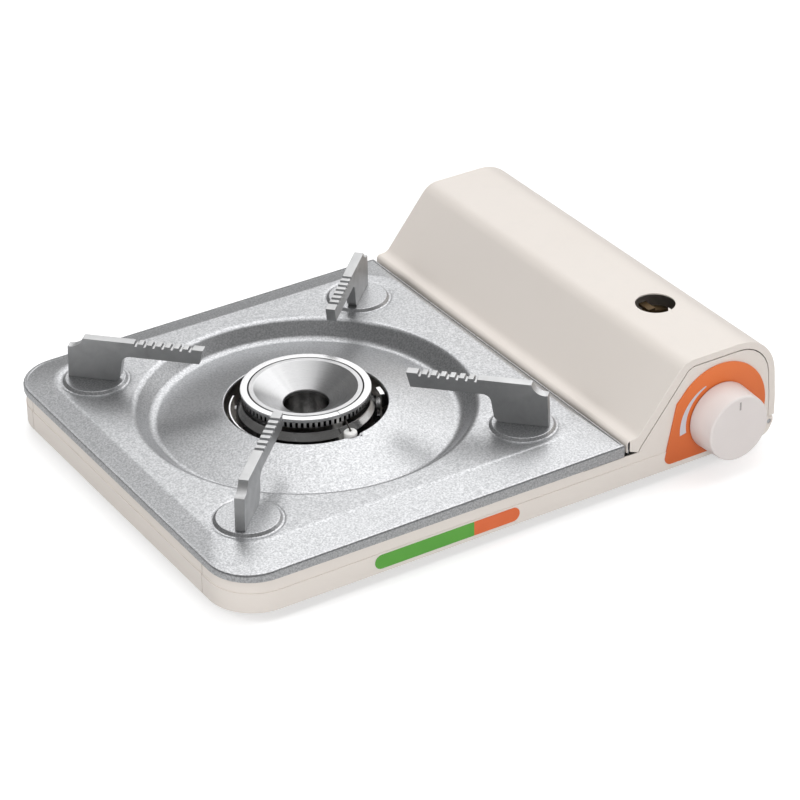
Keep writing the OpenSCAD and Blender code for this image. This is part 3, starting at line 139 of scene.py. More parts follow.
soft_lamp("lamp_left", (-1.5, 0.1, 1.2), (0.0, 0.0, 0.03), 1.1, 13.0)
soft_lamp("lamp_front", (-0.3, -1.9, 0.7), (0.0, 0.0, 0.03), 1.0, 17.0)

# Base pan, its walls and the two panels
# Deep drawn steel sheet, 0.8 mm thick, sprayed and baked in a warm cream enamel. The pan is the floor,
# its walls stand on its edges, and the front and rear panels are screwed round its corners.


def shared_effect(name, ins, outs):
    """An empty shader group with named inputs (label, kind, value) and named outputs (label, kind)."""
    group = bpy.data.node_groups.new(name, "ShaderNodeTree")
    for label, kind, value in ins:
        group.interface.new_socket(label, in_out="INPUT", socket_type=kind).default_value = value
    for label, kind in outs:
        group.interface.new_socket(label, in_out="OUTPUT", socket_type=kind)
    return group


enamel_skin = shared_effect(
    "enamel_skin",
    [("Place", "NodeSocketVector", (0.0, 0.0, 0.0)), ("Ripple", "NodeSocketFloat", 420.0)],
    [("Cloud", "NodeSocketFloat"), ("Height", "NodeSocketFloat"), ("Dust", "NodeSocketFloat")])
given = enamel_skin.nodes.new("NodeGroupInput")
cloud = wire(enamel_skin, "ShaderNodeTexNoise", {"Vector": given.outputs["Place"], "Scale": 14.0,
                                                 "Detail": 3.0, "Roughness": 0.55})
ripple = wire(enamel_skin, "ShaderNodeTexNoise", {"Vector": given.outputs["Place"],
                                                  "Scale": given.outputs["Ripple"], "Detail": 2.0})
facing = wire(enamel_skin, "ShaderNodeNewGeometry", {})
lean = wire(enamel_skin, "ShaderNodeSeparateXYZ", {"Vector": facing.outputs["Normal"]})
level = wire(enamel_skin, "ShaderNodeMapRange", {"Value": lean.outputs["Z"], "From Min": 0.55,
                                                 "From Max": 1.0})
specks = wire(enamel_skin, "ShaderNodeTexNoise", {"Vector": given.outputs["Place"], "Scale": 90.0,
                                                  "Detail": 6.0, "Roughness": 0.7})
few = wire(enamel_skin, "ShaderNodeMapRange", {"Value": specks.outputs["Fac"], "From Min": 0.5,
                                               "From Max": 0.75})
dust = wire(enamel_skin, "ShaderNodeMath", {0: level.outputs[0], 1: few.outputs[0]},
            operation="MULTIPLY")
wire(enamel_skin, "NodeGroupOutput", {"Cloud": cloud.outputs["Fac"], "Height": ripple.outputs["Fac"],
                                      "Dust": dust.outputs[0]})


def effect_on(name, effect, **settings):
    """A new material with a shared effect laid on the object's own places: material, tree and effect."""
    finish = new_finish(name)
    tree = finish.node_tree
    place = wire(tree, "ShaderNodeTexCoord", {})
    laid = wire(tree, "ShaderNodeGroup", {"Place": place.outputs["Object"], **settings}, node_tree=effect)
    return finish, tree, laid


def cream_enamel(name, pale, deep, roughness):
    """Baked enamel: two near tones in soft clouds, the faint ripple of sprayed paint, a breath of dust."""
    finish, tree, skin = effect_on(name, enamel_skin)
    tone = blended(tree, skin.outputs["Cloud"], (*pale, 1.0), (*deep, 1.0))
    dusty = wire(tree, "ShaderNodeMath", {0: skin.outputs["Dust"], 1: 0.10}, operation="MULTIPLY")
    shade = blended(tree, dusty.outputs[0], tone, (0.62, 0.60, 0.57, 1.0))
    rough = wire(tree, "ShaderNodeMapRange", {"Value": skin.outputs["Cloud"],
                                              "To Min": roughness - 0.05, "To Max": roughness + 0.06})
    bump = wire(tree, "ShaderNodeBump", {"Strength": 0.06, "Distance": 0.0004,
                                         "Height": skin.outputs["Height"]})
    paint = wire(tree, "ShaderNodeBsdfPrincipled", {
        "Base Color": shade, "Roughness": rough.outputs[0],
        "Normal": bump.outputs[0], "Specular IOR Level": 0.45})
    wire(tree, "ShaderNodeOutputMaterial", {"Surface": paint.outputs[0]})
    return finish


def dress(finish, *nodes):
    """Gives the finish to pieces that keep the shape they were cut and pressed to."""
    for node in nodes:
        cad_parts[node].data.materials.clear()
        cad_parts[node].data.materials.append(finish)


case_paint = cream_enamel("case_paint", (0.80, 0.745, 0.695), (0.775, 0.715, 0.66), 0.40)
dress(case_paint, "base_pan", "base_walls", "front_panel", "rear_panel")

# Feet
# Four round feet of soft grey rubber, turned with an eased lower edge. Each is pushed from below
# through a hole in the base pan and holds by its own head.


def spot(x, y, z):
    """A place in the frame, from millimetres off the burner's axis and above the table."""
    return Vector(((x - 53.1) / 1000, (y + 15.125) / 1000, z / 1000))


burner_axis = spot(0, 0, 0)


def eased(corners, radii, steps=4):
    """A section with its corners rounded: each corner gives way to a few points of its own arc."""
    points = []
    for i, (corner, radius) in enumerate(zip(corners, radii)):
        here = Vector(corner)
        if radius == 0 or i in (0, len(corners) - 1):
            points.append(tuple(here))
            continue
        before = (Vector(corners[i - 1]) - here).normalized()
        after = (Vector(corners[i + 1]) - here).normalized()
        half = before.angle(after) / 2
        middle = here + (before + after).normalized() * radius / math.sin(half)
        first, last = here + before * radius / math.tan(half), here + after * radius / math.tan(half)
        arm = first - middle
        spread = arm.angle_signed(last - middle)
        for k in range(steps + 1):
            turn = -spread * k / steps
            points.append((middle.x + arm.x * math.cos(turn) - arm.y * math.sin(turn),
                           middle.y + arm.x * math.sin(turn) + arm.y * math.cos(turn)))
    return points


def drawn_on(section, middle, draw_out=bpy.ops.mesh.extrude_edges_move):
    """Draws the selected ring on through a section of (radius, height) about an upright axis."""
    for (wide, low), (next_wide, high) in zip(section, section[1:]):
        draw_out(TRANSFORM_OT_translate={"value": (0, 0, (high - low) / 1000)})
        share = next_wide / wide
        bpy.ops.transform.resize(value=(share, share, 1.0), center_override=middle)


def turned(section, middle, sides=64, closed=False):
    """Turns a section of (radius, height) in millimetres about an upright axis, ring by ring.
    An open section is capped at both ends, and a closed one comes back to its first ring."""
    bpy.ops.object.select_all(action="DESELECT")
    radius, height = section[0]
    bpy.ops.mesh.primitive_circle_add(vertices=sides, radius=radius / 1000,
                                      location=middle + Vector((0, 0, height / 1000)))
    bpy.ops.object.mode_set(mode="EDIT")
    bpy.ops.mesh.select_mode(type="EDGE")
    bpy.ops.mesh.select_all(action="SELECT")
    if closed:
        drawn_on(section + section[:1], middle)
    else:
        bpy.ops.mesh.edge_face_add()
        bpy.ops.mesh.select_all(action="SELECT")
        drawn_on(section, middle, bpy.ops.mesh.extrude_region_move)
    bpy.ops.mesh.select_all(action="SELECT")
    bpy.ops.mesh.remove_doubles(threshold=0.000002)
    bpy.ops.mesh.normals_make_consistent(inside=False)
    bpy.ops.object.mode_set(mode="OBJECT")
    return bpy.context.object


def settled(piece):
    """Takes a piece in hand and puts its place, turn and size into its mesh."""
    bpy.ops.object.select_all(action="DESELECT")
    piece.select_set(True)
    bpy.context.view_layer.objects.active = piece
    bpy.ops.object.transform_apply(location=True, rotation=True, scale=True)


def finished(piece, name, body, slot, finish, *nodes, smooth=35.0):
    """Settles a shaped piece, smooths it up to an angle in degrees, and names, finishes and seats it."""
    settled(piece)
    bpy.ops.object.shade_smooth_by_angle(angle=math.radians(smooth))
    even = piece.modifiers.new("even", "WEIGHTED_NORMAL")
    even.weight, even.keep_sharp = 90, True
    bpy.ops.object.modifier_apply(modifier="even")
    piece.name = piece.data.name = name
    piece.data.materials.clear()
    piece.data.materials.append(finish)
    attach(piece, body)
    if nodes:
        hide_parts(*nodes)
    return piece


def copied(piece, name, move, turn=0.0, about=(0.0, 0.0, 0.0)):
    """A like piece with its own mesh, moved and turned about an upright axis within that mesh."""
    twin = piece.copy()
    twin.data = piece.data.copy()
    twin.name = twin.data.name = name
    bpy.context.scene.collection.objects.link(twin)
    about = Vector(about)
    twin.data.transform(Matrix.Translation(about + Vector(move)) @ Matrix.Rotation(turn, 4, "Z")
                        @ Matrix.Translation(-about))
    return twin


moulded_grain = shared_effect(
    "moulded_grain",
    [("Place", "NodeSocketVector", (0.0, 0.0, 0.0)), ("Fineness", "NodeSocketFloat", 1500.0)],
    [("Tone", "NodeSocketFloat"), ("Height", "NodeSocketFloat")])
given = moulded_grain.nodes.new("NodeGroupInput")
broad = wire(moulded_grain, "ShaderNodeTexNoise", {"Vector": given.outputs["Place"], "Scale": 60.0,
                                                   "Detail": 4.0})
fine = wire(moulded_grain, "ShaderNodeTexVoronoi", {"Vector": given.outputs["Place"],
                                                    "Scale": given.outputs["Fineness"]})
wire(moulded_grain, "NodeGroupOutput", {"Tone": broad.outputs["Fac"], "Height": fine.outputs["Distance"]})


def moulded(name, pale, deep, roughness, fineness=1500.0, strength=0.12):
    """Moulded rubber or plastic: two near tones and the fine grain of the mould."""
    finish, tree, grain = effect_on(name, moulded_grain, Fineness=fineness)
    rough = wire(tree, "ShaderNodeMapRange", {"Value": grain.outputs["Tone"],
                                              "To Min": roughness - 0.06, "To Max": roughness + 0.06})
    bump = wire(tree, "ShaderNodeBump", {"Strength": strength, "Distance": 0.0002,
                                         "Height": grain.outputs["Height"]})
    skin = wire(tree, "ShaderNodeBsdfPrincipled", {
        "Base Color": blended(tree, grain.outputs["Tone"], (*pale, 1.0), (*deep, 1.0)),
        "Roughness": rough.outputs[0], "Normal": bump.outputs[0]})
    wire(tree, "ShaderNodeOutputMaterial", {"Surface": skin.outputs[0]})
    return finish


foot_left, foot_right, foot_front, foot_rear = -100.3, 219.5, -123.5, 113.0
foot_rubber = moulded("foot_rubber", (0.55, 0.52, 0.48), (0.47, 0.44, 0.41), 0.7)
foot_section = eased([(0.3, 8.5), (3.7, 8.5), (3.7, 7.3), (2.5, 7.3), (2.5, 6.5), (6.5, 6.5), (6.5, 0.0),
                      (1.2, 0.0), (1.0, 0.6), (0.3, 0.6)], [0, 0.3, 0.3, 0, 0, 0.4, 0.9, 0, 0, 0], 3)
first_place = spot(foot_left, foot_front, 0)
first_foot = finished(turned(foot_section, first_place, 40), "foot_front_left", "case", "foot_rubber",
                      foot_rubber, "feet")
for name, x, y in (("foot_front_right", foot_right, foot_front), ("foot_rear_left", foot_left, foot_rear),
                   ("foot_rear_right", foot_right, foot_rear)):
    foot = copied(first_foot, name, spot(x, y, 0) - first_place)
    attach(foot, "case")

# Partition, brackets, heat plate and screws
# Plain zinc coated steel sheet, folded and left unpainted, with spangles that differ in tone. The
# screws are the same steel. The heat plate is thinner and brighter.
spangle = shared_effect(
    "spangle",
    [("Place", "NodeSocketVector", (0.0, 0.0, 0.0)), ("Flake", "NodeSocketFloat", 260.0)],
    [("Tone", "NodeSocketFloat"), ("Scuff", "NodeSocketFloat")])
given = spangle.nodes.new("NodeGroupInput")
flakes = wire(spangle, "ShaderNodeTexVoronoi", {"Vector": given.outputs["Place"],
                                                "Scale": given.outputs["Flake"]})
flake_tone = wire(spangle, "ShaderNodeSeparateColor", {"Color": flakes.outputs["Color"]})
scuffs = wire(spangle, "ShaderNodeTexNoise", {"Vector": given.outputs["Place"], "Scale": 45.0,
                                              "Detail": 5.0, "Distortion": 0.6})
wire(spangle, "NodeGroupOutput", {"Tone": flake_tone.outputs[0], "Scuff": scuffs.outputs["Fac"]})


def bare_sheet(name, pale, deep, roughness, flake):
    """Bare coated metal: spangles of two tones under light scuffs."""
    finish, tree, coat = effect_on(name, spangle, Flake=flake)
    rough = wire(tree, "ShaderNodeMapRange", {"Value": coat.outputs["Scuff"], "From Min": 0.3,
                                              "From Max": 0.7, "To Min": roughness - 0.08,
                                              "To Max": roughness + 0.12})
    bump = wire(tree, "ShaderNodeBump", {"Strength": 0.05, "Distance": 0.0002,
                                         "Height": coat.outputs["Tone"]})
    skin = wire(tree, "ShaderNodeBsdfPrincipled", {
        "Base Color": blended(tree, coat.outputs["Tone"], (*pale, 1.0), (*deep, 1.0)),
        "Metallic": 0.95, "Roughness": rough.outputs[0], "Normal": bump.outputs[0]})
    wire(tree, "ShaderNodeOutputMaterial", {"Surface": skin.outputs[0]})
    return finish


dress(bare_sheet("zinc_coat", (0.62, 0.63, 0.65), (0.50, 0.51, 0.53), 0.38, 260.0), "bay_partition",
      "case_screws", "nozzle_bracket", "air_shutter", "electrode_clip", "valve_bracket", "valve_screws",
      "burner_screws", "regulator_cover", "regulator_screws", "lid_hinge_pins", "pan_support_screws")
dress(bare_sheet("heat_sheet", (0.74, 0.74, 0.75), (0.66, 0.66, 0.68), 0.30, 700.0), "heat_plate")

# Burner body and its bracket
# The body is an aluminium casting with its mixing tube, tumbled dark and smooth, on a strap of bright
# steel whose curved band and lug rise beside it. Two screws hold both to the floor.
cast_skin = shared_effect(
    "cast_skin",
    [("Place", "NodeSocketVector", (0.0, 0.0, 0.0)), ("Pits", "NodeSocketFloat", 900.0)],
    [("Tone", "NodeSocketFloat"), ("Height", "NodeSocketFloat"), ("Lit_and_worn_top", "NodeSocketFloat")])
given = cast_skin.nodes.new("NodeGroupInput")
flow = wire(cast_skin, "ShaderNodeTexNoise", {"Vector": given.outputs["Place"], "Scale": 70.0,
                                              "Detail": 6.0, "Roughness": 0.6, "Distortion": 0.4})
pits = wire(cast_skin, "ShaderNodeTexNoise", {"Vector": given.outputs["Place"],
                                              "Scale": given.outputs["Pits"], "Detail": 3.0})
cast_way = wire(cast_skin, "ShaderNodeNewGeometry", {})
cast_lean = wire(cast_skin, "ShaderNodeSeparateXYZ", {"Vector": cast_way.outputs["Normal"]})
# Faces that look up are marked to be painted paler: partly wear, partly a painted highlight of the light
# from above.
worn_and_lit_top = wire(cast_skin, "ShaderNodeMapRange", {"Value": cast_lean.outputs["Z"], "From Min": 0.35,
                                                "From Max": 0.75})
wire(cast_skin, "NodeGroupOutput", {"Tone": flow.outputs["Fac"], "Height": pits.outputs["Fac"],
                                    "Lit_and_worn_top": worn_and_lit_top.outputs[0]})


def cast_metal(name, pale, deep, metallic, roughness, pits_per_metre, strength, top_wear_and_highlight=0.0):
    """A metal casting: cloudy tone and the fine pitted skin that the mould leaves, paler on faces that look
    up: partly wear, partly a painted highlight.
    """
    finish, tree, skin = effect_on(name, cast_skin, Pits=pits_per_metre)
    clouds = wire(tree, "ShaderNodeMapRange", {"Value": skin.outputs["Tone"], "From Min": 0.3,
                                               "From Max": 0.7})
    rough = wire(tree, "ShaderNodeMapRange", {"Value": skin.outputs["Tone"], "From Min": 0.3,
                                              "From Max": 0.7, "To Min": roughness - 0.06,
                                              "To Max": roughness + 0.08})
    bump = wire(tree, "ShaderNodeBump", {"Strength": strength, "Distance": 0.0003,
                                         "Height": skin.outputs["Height"]})
    wear_and_highlight = wire(tree, "ShaderNodeMath", {0: skin.outputs["Lit_and_worn_top"], 1: top_wear_and_highlight}, operation="MULTIPLY")
    cloudy = blended(tree, clouds.outputs[0], (*pale, 1.0), (*deep, 1.0))
    metal = wire(tree, "ShaderNodeBsdfPrincipled", {
        "Base Color": blended(tree, wear_and_highlight.outputs[0], cloudy, (0.72, 0.72, 0.72, 1.0)),
        "Metallic": metallic, "Roughness": rough.outputs[0], "Normal": bump.outputs[0]})
    wire(tree, "ShaderNodeOutputMaterial", {"Surface": metal.outputs[0]})
    return finish


burner_alloy = cast_metal("burner_alloy", (0.52, 0.515, 0.51), (0.34, 0.335, 0.33), 1.0, 0.17, 160.0, 0.5)
burner_strap = bare_sheet("burner_strap", (0.78, 0.78, 0.78), (0.68, 0.68, 0.69), 0.24, 900.0)
dress(burner_alloy, "burner_body")
dress(burner_strap, "burner_bracket")

# Ring of ports, funnel and cap ring
# Seventy-two slots are milled through a ring that stands on the body. A pressed funnel of bright steel
# drops into the middle, and a flat turned ring with a small tick closes the top.
lathe_lines = shared_effect(
    "lathe_lines",
    [("Place", "NodeSocketVector", (0.0, 0.0, 0.0)), ("Fineness", "NodeSocketFloat", 5000.0)],
    [("Line", "NodeSocketFloat"), ("Streak", "NodeSocketFloat"), ("Radius", "NodeSocketFloat")])
given = lathe_lines.nodes.new("NodeGroupInput")
level_place = wire(lathe_lines, "ShaderNodeVectorMath",
                   {0: given.outputs["Place"], 1: (1.0, 1.0, 0.0)}, operation="MULTIPLY")
radius = wire(lathe_lines, "ShaderNodeVectorMath", {0: level_place.outputs["Vector"]},
              operation="LENGTH")
heights = wire(lathe_lines, "ShaderNodeSeparateXYZ", {"Vector": given.outputs["Place"]})
along = wire(lathe_lines, "ShaderNodeMath", {0: radius.outputs["Value"], 1: heights.outputs["Z"]},
             operation="ADD")
rings = wire(lathe_lines, "ShaderNodeTexNoise", {"W": along.outputs[0], "Detail": 3.0,
                                                 "Scale": given.outputs["Fineness"]},
             noise_dimensions="1D")
around = wire(lathe_lines, "ShaderNodeMath", {0: heights.outputs["Y"], 1: heights.outputs["X"]},
              operation="ARCTAN2")
streaks = wire(lathe_lines, "ShaderNodeTexNoise", {"W": around.outputs[0], "Scale": 2.2, "Detail": 2.0},
               noise_dimensions="1D")
wire(lathe_lines, "NodeGroupOutput", {"Line": rings.outputs["Fac"], "Streak": streaks.outputs["Fac"],
                                      "Radius": radius.outputs["Value"]})


def turned_metal(name, pale, deep, roughness, strength=0.12, shade_within=0.0):
    """Bright metal with the fine rings that the lathe leaves round the burner's axis.
    It is painted near black, as painted shade in the port slots, nearer to the axis than a given radius in
    metres."""
    finish = new_finish(name)
    tree = finish.node_tree
    place = wire(tree, "ShaderNodeTexCoord", {})
    centred = wire(tree, "ShaderNodeMapping", {"Vector": place.outputs["Object"],
                                               "Location": -burner_axis})
    lines = wire(tree, "ShaderNodeGroup", {"Place": centred.outputs["Vector"]}, node_tree=lathe_lines)
    rough = wire(tree, "ShaderNodeMapRange", {"Value": lines.outputs["Line"], "From Min": 0.3,
                                              "From Max": 0.7, "To Min": roughness - 0.05,
                                              "To Max": roughness + 0.08})
    bump = wire(tree, "ShaderNodeBump", {"Strength": strength, "Distance": 0.0001,
                                         "Height": lines.outputs["Line"]})
    slot_shade = wire(tree, "ShaderNodeMapRange", {"Value": lines.outputs["Radius"], "To Min": 1.0, "To Max": 0.0,
                                             "From Min": shade_within - 0.0004, "From Max": shade_within})
    bare = blended(tree, lines.outputs["Streak"], (*pale, 1.0), (*deep, 1.0))
    metal = wire(tree, "ShaderNodeBsdfPrincipled", {
        "Base Color": blended(tree, slot_shade.outputs[0], bare, (0.02, 0.019, 0.018, 1.0)),
        "Metallic": 1.0, "Roughness": rough.outputs[0], "Normal": bump.outputs[0]})
    wire(tree, "ShaderNodeOutputMaterial", {"Surface": metal.outputs[0]})
    return finish


ring_metal = turned_metal("ring_metal", (0.72, 0.72, 0.72), (0.64, 0.64, 0.65), 0.24)
funnel_metal = turned_metal("funnel_metal", (0.60, 0.60, 0.60), (0.42, 0.42, 0.43), 0.30, 0.18)
# Inside 37.2 mm from the axis the port ring is painted near black: painted shade in the slots.
port_metal = turned_metal("port_metal", (0.80, 0.795, 0.79), (0.66, 0.655, 0.65), 0.32, 0.12, 0.0372)

funnel_outside = eased([(33.4, 41.9), (33.4, 44.1), (30.6, 44.1), (13.4, 33.6), (13.4, 31.8)],
                       [0, 0.3, 0.5, 1.2, 0], 4)
funnel_inside = eased([(14.2, 31.8), (14.2, 33.75), (30.9, 42.9), (32.6, 43.2), (32.6, 41.9)],
                      [0, 1.0, 0.4, 0.2, 0], 3)
finished(turned(funnel_outside + funnel_inside, burner_axis, 128, True),
         "burner_funnel", "case", "bright_steel", funnel_metal, "burner_cone", smooth=28.0)
cap_section = eased([(36.5, 41.9), (38.4, 41.9), (38.4, 44.1), (34.1, 44.1), (34.1, 41.9), (36.5, 41.9)],
                    [0, 0.3, 0.45, 0.3, 0.15, 0], 3)[:-1]
cap = turned(cap_section, burner_axis, 144, True)


def cut_away(piece, tool):
    """Takes a tool's shape out of a piece and throws the tool away."""
    bpy.ops.object.select_all(action="DESELECT")
    bpy.context.view_layer.objects.active = piece
    piece.select_set(True)
    cutter = piece.modifiers.new("cut", "BOOLEAN")
    cutter.object, cutter.operation, cutter.solver = tool, "DIFFERENCE", "EXACT"
    bpy.ops.object.modifier_apply(modifier="cut")
    bpy.data.objects.remove(tool)


def joined(*pieces):
    """Makes one piece of several and gives it back."""
    bpy.ops.object.select_all(action="DESELECT")
    for piece in pieces:
        piece.select_set(True)
    bpy.context.view_layer.objects.active = pieces[0]
    bpy.ops.object.join()
    return bpy.context.object


def pick(test, mode="VERT"):
    """Selects the vertices, edges or faces of the piece in hand whose middle passes a test."""
    bpy.ops.mesh.select_mode(type=mode)
    bpy.ops.mesh.select_all(action="DESELECT")
    mesh = bmesh.from_edit_mesh(bpy.context.object.data)
    parts = {"VERT": mesh.verts, "EDGE": mesh.edges, "FACE": mesh.faces}[mode]
    place = bpy.context.object.matrix_world
    for part in parts:
        if mode == "FACE":
            middle, lean = place @ part.calc_center_median(), part.normal
        elif mode == "EDGE":
            middle, lean = place @ ((part.verts[0].co + part.verts[1].co) / 2), None
        else:
            middle, lean = place @ part.co, part.normal
        if test(middle, lean, part):
            part.select_set(True)
    mesh.select_flush_mode()
    bmesh.update_edit_mesh(bpy.context.object.data)


# The tick is a shallow saw cut across the cap ring.
bpy.ops.object.select_all(action="DESELECT")
bpy.ops.mesh.primitive_cube_add(size=1.0, location=spot(0.6, -36.0, 44.1))
saw = bpy.context.object
saw.dimensions = (0.0005, 0.006, 0.0014)
cut_away(cap, saw)
finished(cap, "burner_cap", "case", "bright_steel", ring_metal, "burner_cap_ring", smooth=30.0)

# The slots: every other face of the ring's outer wall is drawn in towards the axis.
port_count, port_r = 72, 37.6
ports = turned(eased([(33.0, 38.2), (port_r, 38.2), (port_r, 41.9), (33.0, 41.9)], [0, 0.2, 0.2, 0], 2),
               burner_axis, 2 * port_count, True)
bpy.ops.object.mode_set(mode="EDIT")


def on_slot(middle, lean, part):
    away = middle - burner_axis
    pitch = 360.0 / port_count
    turn = math.degrees(math.atan2(away.y, away.x)) % pitch
    return math.hypot(away.x, away.y) > (port_r - 0.6) / 1000 and abs(lean.z) < 0.5 and turn < pitch / 2


pick(on_slot, "FACE")
bpy.ops.mesh.extrude_region_move(TRANSFORM_OT_translate={"value": (0, 0, 0)})
bpy.ops.transform.resize(value=(0.93, 0.93, 1.0), center_override=burner_axis)
bpy.ops.object.mode_set(mode="OBJECT")
finished(ports, "burner_ports", "case", "burner_casting", port_metal, "burner_port_ring", smooth=25.0)

# Electrode, ignition lead and igniter
# A white glazed ceramic sleeve in a clip carries a steel needle that points at the ports. A rubber
# covered lead runs from it to the igniter, a black plastic box with a white plunger and a cam.
dress(bare_sheet("burnt_wire", (0.17, 0.16, 0.15), (0.09, 0.085, 0.08), 0.34, 900.0), "electrode_pin")
sleeve_section = eased([(1.0, 13.3), (3.2, 13.3), (3.2, 27.0), (4.0, 28.2), (3.9, 34.9), (3.1, 35.6),
                        (1.0, 35.6)], [0, 0.4, 0.3, 0.3, 0.4, 0.3, 0], 3)
glazed_ceramic = moulded("glazed_ceramic", (0.90, 0.895, 0.88), (0.84, 0.83, 0.81), 0.16, 800.0, 0.04)
electrode_x, electrode_y = 3.0, -45.0
sleeve = turned(sleeve_section, spot(electrode_x, electrode_y, 0), 48, True)
finished(sleeve, "electrode_sleeve", "case", "ceramic", glazed_ceramic, "electrode_ceramic", smooth=30.0)
dress(moulded("lead_cover", (0.045, 0.045, 0.048), (0.03, 0.03, 0.032), 0.5), "ignition_lead")
dress(moulded("igniter_plastic", (0.05, 0.05, 0.053), (0.03, 0.03, 0.032), 0.45), "igniter_body",
      "igniter_cam")
dress(moulded("plunger_plastic", (0.80, 0.80, 0.78), (0.72, 0.72, 0.70), 0.4), "igniter_plunger")

# Valve, regulator, pipe and nozzle
# Brass is turned for the valve, its stem, the nut and the nozzle, and drawn for the pipe. The
# regulator is a zinc pressure casting, browned against rust as its guide pin is, and a ring magnet
# round its inlet holds the canister.
brass = turned_metal("brass", (0.80, 0.60, 0.28), (0.70, 0.50, 0.21), 0.30)
dress(brass, "valve_body", "valve_stem", "pipe_nut", "gas_nozzle", "gas_pipe")
dress(cast_metal("browned_zinc", (0.20, 0.13, 0.06), (0.13, 0.085, 0.04), 0.6, 0.55, 1400.0, 0.2),
      "regulator_body", "canister_guide_pin")
dress(cast_metal("magnet_ferrite", (0.075, 0.072, 0.07), (0.045, 0.043, 0.042), 0.1, 0.6, 2200.0, 0.2),
      "canister_magnet_ring")
dress(moulded("seal_rubber", (0.06, 0.045, 0.04), (0.04, 0.03, 0.028), 0.55), "inlet_seal")

# Dial plate, its scale and the label
# The dial is a stamped plate, lacquered orange, that backs the knob: a round plate with a foot drawn
# out to its left. The scale is a white printed wedge. The label is a bare film in green and orange.


def drawn(points, axis_place, filled=True):
    """Draws an outline from point to point, in millimetres, and may fill it with one face.
    axis_place turns each pair of numbers of the outline into a place in the frame."""
    bpy.ops.object.select_all(action="DESELECT")
    start = axis_place(*points[0])
    bpy.ops.mesh.primitive_plane_add(size=0.001, location=start)
    bpy.ops.object.mode_set(mode="EDIT")
    bpy.ops.mesh.select_mode(type="VERT")
    bpy.ops.mesh.select_all(action="SELECT")
    bpy.ops.mesh.merge(type="CENTER")
    here = start
    for pair in points[1:]:
        there = axis_place(*pair)
        bpy.ops.mesh.extrude_vertices_move(TRANSFORM_OT_translate={"value": there - here})
        here = there
    bpy.ops.mesh.select_all(action="SELECT")
    if filled:
        bpy.ops.mesh.edge_face_add()
    return bpy.context.object


def thickened(way):
    """Draws the filled face out into a solid and leaves edit mode."""
    bpy.ops.mesh.select_all(action="SELECT")
    bpy.ops.mesh.extrude_region_move(TRANSFORM_OT_translate={"value": way})
    bpy.ops.mesh.select_all(action="SELECT")
    bpy.ops.mesh.normals_make_consistent(inside=False)
    bpy.ops.object.mode_set(mode="OBJECT")


def rounded_edges(piece, width, segments=2, angle=30.0):
    """Eases every sharp edge of a piece by a width in millimetres."""
    bpy.context.view_layer.objects.active = piece
    ease = piece.modifiers.new("ease", "BEVEL")
    ease.width, ease.segments = width / 1000, segments
    ease.limit_method, ease.angle_limit = "ANGLE", math.radians(angle)
    ease.use_clamp_overlap = True
    bpy.ops.object.modifier_apply(modifier="ease")


def arc(x, z, radius, first, last, steps):
    """Points of an arc in millimetres, from one angle to another in degrees."""
    return [(x + radius * math.cos(math.radians(first + (last - first) * k / steps)),
             z + radius * math.sin(math.radians(first + (last - first) * k / steps)))
            for k in range(steps + 1)]


knob_x, knob_z = 193.7, 32.4
panel_face, dial_r, dial_t = -141.1, 33.6, 1.0
dial_outline = (eased([(171.3, 10.0), (154.7, 10.0), (163.1, 48.7), (168.2, 54.2)], [0, 4.5, 0.6, 0], 8)[:-1]
                + arc(knob_x, knob_z, dial_r, 144.0, -41.8, 56))
drawn(dial_outline, lambda x, z: spot(x, panel_face, z))
thickened((0, -dial_t / 1000, 0))
dial = bpy.context.object
rounded_edges(dial, 0.22, 3)
dial_lacquer = new_finish("dial_lacquer")
tree = dial_lacquer.node_tree
place = wire(tree, "ShaderNodeTexCoord", {})
skin = wire(tree, "ShaderNodeGroup", {"Place": place.outputs["Object"], "Ripple": 700.0},
            node_tree=enamel_skin)
# The orange is painted darker towards the bottom of the dial: painted shade.
rise = wire(tree, "ShaderNodeSeparateXYZ", {"Vector": place.outputs["Object"]})
lower_shade = wire(tree, "ShaderNodeMapRange", {"Value": rise.outputs["Z"], "From Min": 0.062,
                                           "From Max": 0.012, "To Min": 0.0, "To Max": 0.9})
shaded_orange = blended(tree, lower_shade.outputs[0], (0.83, 0.195, 0.045, 1.0), (0.60, 0.118, 0.024, 1.0))
rough = wire(tree, "ShaderNodeMapRange", {"Value": skin.outputs["Cloud"], "To Min": 0.30, "To Max": 0.42})
bump = wire(tree, "ShaderNodeBump", {"Strength": 0.04, "Distance": 0.0002,
                                     "Height": skin.outputs["Height"]})
paint = wire(tree, "ShaderNodeBsdfPrincipled", {"Base Color": shaded_orange, "Roughness": rough.outputs[0],
                                                "Normal": bump.outputs[0]})
wire(tree, "ShaderNodeOutputMaterial", {"Surface": paint.outputs[0]})
finished(dial, "dial", "case", "dial_orange", dial_lacquer, "dial_plate", smooth=25.0)

# The wedge grows from its thin end to its wide end, which lies nearest to the foot of the dial.
scale_steps, thin_end, wide_end, print_t = 26, 115, 191, 0.12
scale_outline = arc(knob_x, knob_z, 24.0, wide_end, thin_end, scale_steps)
for k in range(scale_steps + 1):
    reach = 24.8 + 3.7 * k / scale_steps
    turn = math.radians(thin_end + (wide_end - thin_end) * k / scale_steps)
    scale_outline.append((knob_x + reach * math.cos(turn), knob_z + reach * math.sin(turn)))
drawn(scale_outline, lambda x, z: spot(x, panel_face - dial_t, z))
thickened((0, -print_t / 1000, 0))
finished(bpy.context.object, "dial_wedge", "case", "scale_white",
         moulded("scale_print", (0.66, 0.65, 0.70), (0.60, 0.59, 0.64), 0.4, 900.0, 0.03), "dial_scale")

